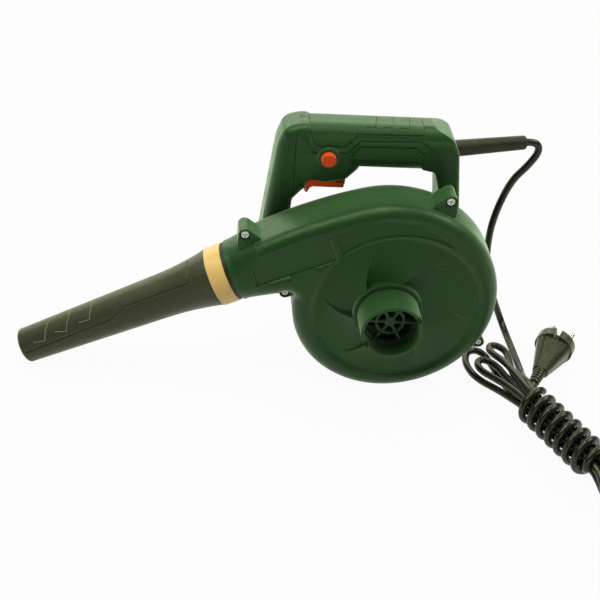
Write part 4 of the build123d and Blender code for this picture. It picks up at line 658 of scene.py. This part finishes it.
class BLOWER_OT_stage(Operator):
    """Adds the floor, the lamps and the camera"""

    bl_idname = "blower.stage"
    bl_label = "Stage"

    FLOOR_SIZE = 12.0
    CAMERA_PLACE = Vector((-186.381, -795.913, 580.653))
    CAMERA_RIGHT = Vector((0.99245, -0.06453, 0.10431))
    CAMERA_UP = Vector((-0.04486, 0.60056, 0.79832))
    CAMERA_BACK = Vector((-0.11416, -0.79697, 0.59313))
    OVERHEAD_PLACES = [(-0.8, -0.1, 1.3), (-0.1, 0.1, 1.4), (1.0, 0.2, 1.2)]
    OVERHEAD_SIZE = (0.65, 0.65)
    BACK_PLACE = (-0.2, 1.35, 0.75)
    BACK_SIZE = (2.6, 0.9)
    FILL_PLACE = (0.35, -1.5, 0.32)
    FILL_SIZE = (0.9, 0.3)
    AIM = (0.0, 0.0, 0.1)
    LAMP_COLOUR = (1.0, 0.97, 0.91)

    def execute(self, context):
        choice = context.scene.blower_stage
        self.add_camera(context, choice)
        self.add_floor(choice)
        for place in self.OVERHEAD_PLACES:
            self.add_lamp("overhead_lamp", place, self.OVERHEAD_SIZE, choice.overhead_power)
        self.add_lamp("back_lamp", self.BACK_PLACE, self.BACK_SIZE, choice.back_power)
        self.add_lamp("fill_lamp", self.FILL_PLACE, self.FILL_SIZE, choice.fill_power)
        self.add_sky(context, choice)
        context.scene.view_settings.view_transform = "Standard"
        return {"FINISHED"}

    def add_camera(self, context, choice):
        camera = link("camera", bpy.data.cameras.new("camera"))
        camera.data.lens = choice.lens
        turn = Matrix((self.CAMERA_RIGHT, self.CAMERA_UP, self.CAMERA_BACK)).transposed()
        camera.matrix_world = Matrix.Translation(fan_point(*self.CAMERA_PLACE)) @ turn.to_4x4()
        context.scene.camera = camera

    def add_floor(self, choice):
        mesh = bmesh.new()
        bmesh.ops.create_grid(mesh, x_segments=8, y_segments=8, size=self.FLOOR_SIZE / 2)
        data = bpy.data.meshes.new("floor")
        mesh.to_mesh(data)
        mesh.free()
        floor = link("floor", data)
        finish = Finish("pale_floor")
        finish.set("Roughness", 0.9)
        socket_value(finish.shader, "Base Color", (*choice.floor_colour, 1))
        rays = finish.tree.nodes.new("ShaderNodeLightPath").outputs
        seen = rays["Is Camera Ray"]
        for kind in ("Is Glossy Ray", "Is Transmission Ray"):
            seen = finish.total(seen, rays[kind])
        glow = finish.tree.nodes.new("ShaderNodeEmission").outputs["Emission"]
        mix = finish.tree.nodes.new("ShaderNodeMixShader")
        finish.join(finish.remap(seen, 0, 1, 0, choice.floor_glow), mix.inputs["Fac"])
        finish.join(finish.shader.outputs["BSDF"], mix.inputs[1])
        finish.join(glow, mix.inputs[2])
        finish.join(mix.outputs["Shader"], finish.output.inputs["Surface"])
        floor.data.materials.append(finish.material)

    def add_lamp(self, name, place, size, power):
        lamp = link(name, bpy.data.lights.new(name, "AREA"))
        lamp.data.energy = power
        lamp.data.shape = "RECTANGLE"
        lamp.data.size, lamp.data.size_y = size
        lamp.data.color = self.LAMP_COLOUR
        lamp.location = place
        lamp.rotation_euler = (Vector(self.AIM) - Vector(place)).to_track_quat("-Z", "Y").to_euler()

    def add_sky(self, context, choice):
        sky = bpy.data.worlds.new("sky")
        sky.use_nodes = True
        shade = sky.node_tree.nodes["Background"]
        socket_value(shade, "Color", (1, 1, 1, 1))
        socket_value(shade, "Strength", choice.sky)
        context.scene.world = sky


class BLOWER_OT_finishes(Operator):
    """Makes the materials and gives each CAD node its own"""

    bl_idname = "blower.finishes"
    bl_label = "Finishes"

    def execute(self, context):
        for slot, material in make_finishes().items():
            context.scene[slot] = material.name
        choice = context.scene.blower_finishes
        satin = choice.plastic_roughness
        # The handle's parting line gets the same painted shade
        moulded_plastic(HANDLE_PLASTIC, tuple(choice.casing_green), satin, HANDLE_SEAM, GREEN_TINT)
        # Painted highlight: a paler copy of the nozzle colour for its corner marks
        pale = scaled(choice.nozzle_olive, MARK_HIGHLIGHT_PALENESS)
        moulded_plastic(MARK_HIGHLIGHT_PLASTIC, pale, satin, None, OLIVE_TINT)
        for node, slot in SLOTS.items():
            wear(NODES[node], slot)
        return {"FINISHED"}


class BLOWER_OT_mains_lead(Operator):
    """Lays the mains lead from its guard through the hank to the plug"""

    bl_idname = "blower.mains_lead"
    bl_label = "Mains lead"

    def execute(self, context):
        choice = context.scene.blower_lead
        points = [fan_point(*spot) for spot in (GUARD_END, GUARD_LEAD, *LEAD_DROP)]
        points += self.hank(choice)
        curve = bpy.data.curves.new("mains_lead", "CURVE")
        curve.dimensions = "3D"
        curve.bevel_depth = 1
        curve.bevel_resolution = 5
        curve.resolution_u = 8
        curve.use_fill_caps = True
        spline = curve.splines.new("NURBS")
        spline.points.add(len(points) - 1)
        for knot, point in zip(spline.points, points):
            knot.co = (*point, 1)
            knot.radius = choice.diameter / 2
        spline.order_u = 3
        spline.use_endpoint_u = True
        lead = link("mains_lead_cover", curve)
        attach(lead, NODES["mains_lead"]["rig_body"])
        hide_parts("mains_lead")
        wear(lead, "cord_black")
        return {"FINISHED"}

    def hank(self, choice):
        """Control points of the folds, the wraps and the run to the plug."""
        spots = LEAD_IN + self.strand(30, STRAND_PITCH, STRAND_START, STRAND_END)
        spots += FAR_LOOP_HIGH + self.strand(90, STRAND_PITCH, STRAND_END, STRAND_START)
        spots += NEAR_LOOP_RIGHT + self.strand(330, STRAND_PITCH, STRAND_START, STRAND_END)
        spots += FAR_LOOP_MIDDLE + self.strand(0, 0, STRAND_END, STRAND_START)
        spots += NEAR_LOOP_MIDDLE + self.strand(150, STRAND_PITCH, STRAND_START, STRAND_END)
        spots += FAR_LOOP_LONG + self.strand(270, STRAND_PITCH, STRAND_END, STRAND_START)
        spots += NEAR_LOOP_LEFT + self.strand(210, STRAND_PITCH, STRAND_START, LAST_STRAND_END)
        spots += WRAP_LEAD_IN + self.wraps(choice) + PLUG_LEAD
        return [hank_point(*spot) for spot in spots]

    def strand(self, angle, spread, first, last):
        across, up = spoke(spread, angle)
        return [(first, across, up), (last, across, up)]

    def wraps(self, choice):
        start, start_angle = WRAP_START
        end, end_angle = WRAP_END
        sweep = end_angle - FULL_TURN * choice.wrap_turns - start_angle
        steps = round(abs(sweep) / FULL_TURN * choice.wrap_points)
        spots = []
        for step in range(steps + 1):
            across, up = spoke(choice.wrap_radius / MM, start_angle + sweep * step / steps)
            spots.append((start + (end - start) * step / steps, across, up))
        return spots


class BLOWER_OT_casing(Operator):
    """Sinks the label panel and the crescent into the front casing and shapes the swirl of its dish"""

    bl_idname = "blower.casing"
    bl_label = "Casing"

    FRONT_FACE = -25.5
    LABEL_PANEL = [
        (-113.6, 18.9), (-49.8, 49.2), (-59.0, 70.2), (-63.5, 82.0), (-140.0, 46.0), (-121.0, 40.0),
    ]
    CRESCENT_LEFT = (-54.0, 73.4)
    CRESCENT_TOP = (-14.0, 88.4)
    CRESCENT_RIGHT = (45.6, 68.2)
    CRESCENT_ENDS = (60.0, 134.0)
    DISH_PLACE = Vector((7.5, 0.3))
    DISH_RADIUS = 75.0
    FLOOR_RADIUS = 68.8
    DISH_FLOOR = -21.5
    SEAT_RADIUS = 30.3
    SKIN_FOOT = 0.8
    SKIN_EDGE = 0.04
    CUT_GAP = 0.02
    ROWS = 26
    STEPS = 44
    RING_STEPS = 180
    FADE = 1.4
    FLAT_FACING = -0.99

    def execute(self, context):
        choice = context.scene.blower_casing
        panel_floor = self.FRONT_FACE + choice.panel_depth / MM
        ahead = self.FRONT_FACE - choice.lobe_rise / MM
        cutter = merged([
            prism(self.LABEL_PANEL, ahead, panel_floor),
            prism(self.crescent(choice), ahead, panel_floor),
            self.dish_ring(ahead),
        ], "casing_cutter")
        piece = carved("front_casing", [cutter])
        discard(cutter)
        level = panel_floor * MM
        near = self.CUT_GAP * MM
        stipple(piece, lambda middle, normal: abs(middle.y - level) < near and normal.y < self.FLAT_FACING)
        skin = merged([self.swirl(choice)], "dish_swirl")
        skin.data.set_sharp_from_angle(angle=math.radians(choice.crest_angle))
        skin.data.polygons.foreach_set("use_smooth", [True] * len(skin.data.polygons))
        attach(skin, "frame")
        wear(skin, "casing_green")
        return {"FINISHED"}

    def crescent(self, choice):
        radius = self.DISH_RADIUS + choice.rim_width / MM
        first, last = self.CRESCENT_ENDS
        inner = [self.DISH_PLACE + spoke(radius, first + (last - first) * step / self.STEPS)
                 for step in range(self.STEPS + 1)]
        outer = arc_through(self.CRESCENT_LEFT, self.CRESCENT_TOP, self.CRESCENT_RIGHT, self.STEPS)
        return inner + outer

    def dish_ring(self, ahead):
        """Room for the swirl: from the collar's seat out to the foot of the dish's wall."""
        low = self.DISH_FLOOR - self.CUT_GAP
        loops = [(self.SEAT_RADIUS, 0, low), (self.SEAT_RADIUS, 0, ahead),
                 (self.FLOOR_RADIUS, 1, ahead), (self.FLOOR_RADIUS, 1, low)]
        return ring_solid([self.loop(radius, share, depth) for radius, share, depth in loops])

    def loop(self, radius, share, depth):
        spots = [self.DISH_PLACE * share + spoke(radius, FULL_TURN * step / self.RING_STEPS)
                 for step in range(self.RING_STEPS)]
        return [fan_point(x, depth, z) for x, z in spots]

    def swirl(self, choice):
        """Dish floor whose lobes rise gently to a sharp crest, drop behind it and fade outwards."""
        root = self.DISH_FLOOR + self.SKIN_FOOT
        loops = [self.swirl_loop(choice, 0, root)]
        loops += [self.swirl_loop(choice, row / self.ROWS) for row in range(self.ROWS + 1)]
        loops.append(self.swirl_loop(choice, 1, root))
        return ring_solid(loops)

    def swirl_loop(self, choice, share, depth=None):
        spots = []
        for index in range(choice.lobes * self.STEPS):
            turn = FULL_TURN * index / (choice.lobes * self.STEPS)
            angle = choice.lobe_start + turn - choice.lobe_lean * share
            inner = spoke(self.SEAT_RADIUS, angle)
            outer = self.DISH_PLACE + spoke(self.FLOOR_RADIUS, angle)
            phase = index % self.STEPS / (self.STEPS - 1)
            cone = choice.cone_rise / MM * (1 - share)
            lobe = choice.lobe_rise / MM * (1 - share) ** self.FADE * (1 - phase) ** 2
            place = inner.lerp(outer, share)
            height = self.DISH_FLOOR - self.SKIN_EDGE - (cone + lobe) if depth is None else depth
            spots.append(fan_point(place.x, height, place.y))
        return spots


class BLOWER_OT_handle(Operator):
    """Carves the handle's panel lines and corner marks, and opens its housing over the trigger"""

    bl_idname = "blower.handle"
    bl_label = "Handle"

    SHELLS = ("handle_front_shell", "handle_rear_shell")
    MARK_PLACES = (-24.0, -9.9, 3.9)
    MARK_FRONT = 33.3
    MARK_BACK = 49.5
    MARK_LEAN = 2.4
    MARK_FOOT = 8.0
    GRIP_AXIS = (43.5, 125.0)
    PANEL_ENDS = (-78.1, 16.0)
    PANEL_SWEEP = (42, 138)
    SWEEP_STEP = 4
    LEG_EDGE = [(40.5, 134.0), (39.8, 103.0), (34.9, 76.4), (31.0, 52.0)]
    LEG_MARKS = [
        [(56.0, 110.6), (42.0, 110.4), (42.6, 102.5)],
        [(57.0, 85.0), (44.5, 84.8), (44.0, 93.0)],
        [(57.0, 64.3), (43.5, 64.1), (43.0, 72.0)],
    ]
    TRIGGER_ROOM = [
        (-77.2, 70.0), (-42.2, 70.0), (-42.2, 91.4), (-60.0, 93.2), (-73.0, 94.4), (-77.2, 91.0),
    ]
    ROOM_SPAN = (20.0, 66.0)
    SHOE_ROOM = [(-77.2, 84.0), (-42.4, 84.0), (-42.4, 95.4), (-77.2, 95.4)]
    SHOE_ROOM_SPAN = (28.3, 58.7)
    TRIGGER_SHOE = [
        (-75.9, 80.4), (-74.1, 80.4), (-72.6, 84.2), (-70.6, 86.0), (-44.6, 86.6), (-44.0, 87.6),
        (-44.0, 90.4), (-75.9, 92.6),
    ]
    SHOE_SPAN = (28.8, 58.2)

    def execute(self, context):
        choice = context.scene.blower_mouldings
        surface = surface_of(*self.SHELLS)
        lines = []
        for direction in (FROM_FRONT, FROM_BACK):
            for route in (GRIP_EDGE, GRIP_STEP, GRIP_PANEL, LEG_VALLEY):
                points = [fan_point(x, 0, z) for x, z in route]
                lines.append(rod(laid_on(surface, points, direction, choice.spacing), choice.groove_radius))
        for place in self.PANEL_ENDS:
            lines.append(rod(self.over_grip(surface, place), choice.mark_radius))
        for place in self.MARK_PLACES:
            points = [fan_point(place + self.MARK_LEAN, self.MARK_BACK, 0),
                      fan_point(place, self.MARK_FRONT, 0),
                      fan_point(place - self.MARK_FOOT, self.MARK_FRONT, 0)]
            lines.append(rod(laid_on(surface, points, FROM_TOP, choice.spacing), choice.mark_radius))
        for route in (self.LEG_EDGE, *self.LEG_MARKS):
            points = [fan_point(0, y, z) for y, z in route]
            lines.append(rod(laid_on(surface, points, FROM_LEFT, choice.spacing), choice.mark_radius))
        rooms = [prism(self.TRIGGER_ROOM, *self.ROOM_SPAN), prism(self.SHOE_ROOM, *self.SHOE_ROOM_SPAN)]
        cutters = [merged(lines, "handle_lines"), merged(rooms, "trigger_room")]
        for node in self.SHELLS:
            stipple(carved(node, cutters, HANDLE_PLASTIC), self.on_panel)
        discard(*cutters)
        shoe = merged([prism(self.TRIGGER_SHOE, *self.SHOE_SPAN)], "trigger_shoe")
        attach(shoe, NODES["trigger"]["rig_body"])
        wear(shoe, SLOTS["trigger"])
        return {"FINISHED"}

    def over_grip(self, surface, place):
        """Points across the grip's rounded top at a place along it."""
        axis = fan_point(place, *self.GRIP_AXIS)
        first, last = self.PANEL_SWEEP
        laid = []
        for angle in range(first, last + 1, self.SWEEP_STEP):
            across, up = spoke(1, angle)
            outward = Vector((0, -across, up))
            laid.append(surface.ray_cast(axis + outward * CAST_START, -outward)[0])
        return laid

    def on_panel(self, middle, normal):
        """Whether a face lies on the grip's stippled top."""
        spot = (middle - FAN_CENTRE) / MM
        for (x, z), (next_x, next_z) in zip(GRIP_EDGE, GRIP_EDGE[1:]):
            if x < spot.x < next_x:
                return spot.z > z + (next_z - z) * (spot.x - x) / (next_x - x)
        return False


class BLOWER_OT_springs(Operator):
    """Replaces the two springs that the controls press on with smooth-shaded copies that have meshes of their
    own
    """

    bl_idname = "blower.springs"
    bl_label = "Springs"

    PRESSED = {
        "trigger_spring": ("trigger_pull", FROM_BELOW, 3.5),
        "lock_spring": ("lock_press", FROM_FRONT, 3.6),
    }

    def execute(self, context):
        for node, (joint, axis, travel) in self.PRESSED.items():
            piece = carved(node, [])
            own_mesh(piece)
        return {"FINISHED"}


class BLOWER_OT_motor_vents(Operator):
    """Cuts the cooling slots round the back of the motor housing"""

    bl_idname = "blower.motor_vents"
    bl_label = "Motor vents"

    ANGLES = range(-30, 211, 24)
    MIDDLE = 80.0
    RADIUS = 45.0
    SLOT = (13.0, 3.0, 9.0)

    def execute(self, context):
        slots = []
        for angle in self.ANGLES:
            across, up = spoke(1, angle)
            outward = Vector((across, 0, up))
            centre = fan_point(0, self.MIDDLE, 0) + outward * self.RADIUS * MM
            sides = (FROM_FRONT, outward.cross(FROM_FRONT), outward)
            slots.append(block(centre, sides, [length * MM for length in self.SLOT]))
        cutter = merged(slots, "vent_cutter")
        carved("motor_housing", [cutter])
        discard(cutter)
        return {"FINISHED"}


class BLOWER_OT_nozzle(Operator):
    """Carves the nozzle's stepped line and adds its corner marks"""

    bl_idname = "blower.nozzle"
    bl_label = "Nozzle"

    LINE = [
        (304.0, 9.3), (298.6, 10.4), (221.0, 20.7), (203.6, 40.0), (143.0, 39.2), (141.2, 60.0),
        (142.0, 95.0),
    ]
    MARKS = [
        [(275.6, 88.6), (283.5, 26.5), (293.3, 32.2)],
        [(254.0, 94.6), (261.9, 31.0), (271.8, 41.0)],
        [(232.3, 100.6), (238.4, 40.4), (248.7, 42.2)],
    ]
    REACH = 0.06
    ANGLE_STEP = 5

    def execute(self, context):
        choice = context.scene.blower_mouldings
        surface = surface_of("nozzle")
        line = self.on_nozzle(surface, self.LINE, choice.spacing)
        cutter = merged([rod(line, choice.groove_radius)], "nozzle_line")
        carved("nozzle", [cutter])
        discard(cutter)
        marks = []
        for route in self.MARKS:
            marks.append(rod(self.on_nozzle(surface, route, choice.spacing), choice.mark_radius))
        piece = merged(marks, "nozzle_marks")
        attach(piece, "nozzle")
        # The marks wear the paler copy of the nozzle colour, a painted highlight
        wear(piece, "nozzle_dark", MARK_HIGHLIGHT_PLASTIC)
        return {"FINISHED"}

    def on_nozzle(self, surface, route, spacing):
        """Points on the nozzle from (station in millimetres, angle above the front in degrees)."""
        spots = []
        for here, there in zip(route, route[1:]):
            run, turn = Vector(there) - Vector(here)
            count = max(2, math.ceil(abs(run) * MM / spacing), math.ceil(abs(turn) / self.ANGLE_STEP))
            spots += [Vector(here).lerp(Vector(there), step / count) for step in range(count)]
        spots.append(route[-1])
        return [self.cast(surface, *spot) for spot in spots]

    def cast(self, surface, station, angle):
        turn = math.radians(angle)
        outward = OUTLET_UP * math.sin(turn) - FROM_FRONT * math.cos(turn)
        centre = OUTLET_ROOT + OUTLET_AXIS * station * MM
        return surface.ray_cast(centre + outward * self.REACH, -outward)[0]


class BLOWER_PT_panel(Panel):
    """Lists the blower's pieces and their settings"""

    bl_idname = "BLOWER_PT_panel"
    bl_label = "Leaf blower"
    bl_space_type = "VIEW_3D"
    bl_region_type = "UI"
    bl_category = "Blower"

    def draw(self, context):
        for settings in SETTINGS:
            box = self.layout.box()
            for name in settings.__annotations__:
                box.prop(getattr(context.scene, SETTINGS[settings]), name)
        for operator in OPERATORS:
            self.layout.operator(operator.bl_idname)


SETTINGS = {
    BlowerFinishes: "blower_finishes",
    BlowerLead: "blower_lead",
    BlowerMouldings: "blower_mouldings",
    BlowerCasing: "blower_casing",
    BlowerStage: "blower_stage",
}
OPERATORS = (
    BLOWER_OT_stage,
    BLOWER_OT_finishes,
    BLOWER_OT_mains_lead,
    BLOWER_OT_casing,
    BLOWER_OT_handle,
    BLOWER_OT_springs,
    BLOWER_OT_motor_vents,
    BLOWER_OT_nozzle,
)
CLASSES = (*SETTINGS, *OPERATORS, BLOWER_PT_panel)


def register():
    for item in CLASSES:
        bpy.utils.register_class(item)
    for settings, name in SETTINGS.items():
        setattr(bpy.types.Scene, name, PointerProperty(type=settings))


def unregister():
    for name in SETTINGS.values():
        delattr(bpy.types.Scene, name)
    for item in reversed(CLASSES):
        bpy.utils.unregister_class(item)


def main():
    """Builds the scene piece by piece."""
    register()
    for operator in OPERATORS:
        group, name = operator.bl_idname.split(".")
        getattr(getattr(bpy.ops, group), name)()
    bpy.context.view_layer.update()


if __name__ == "__main__":
    main()
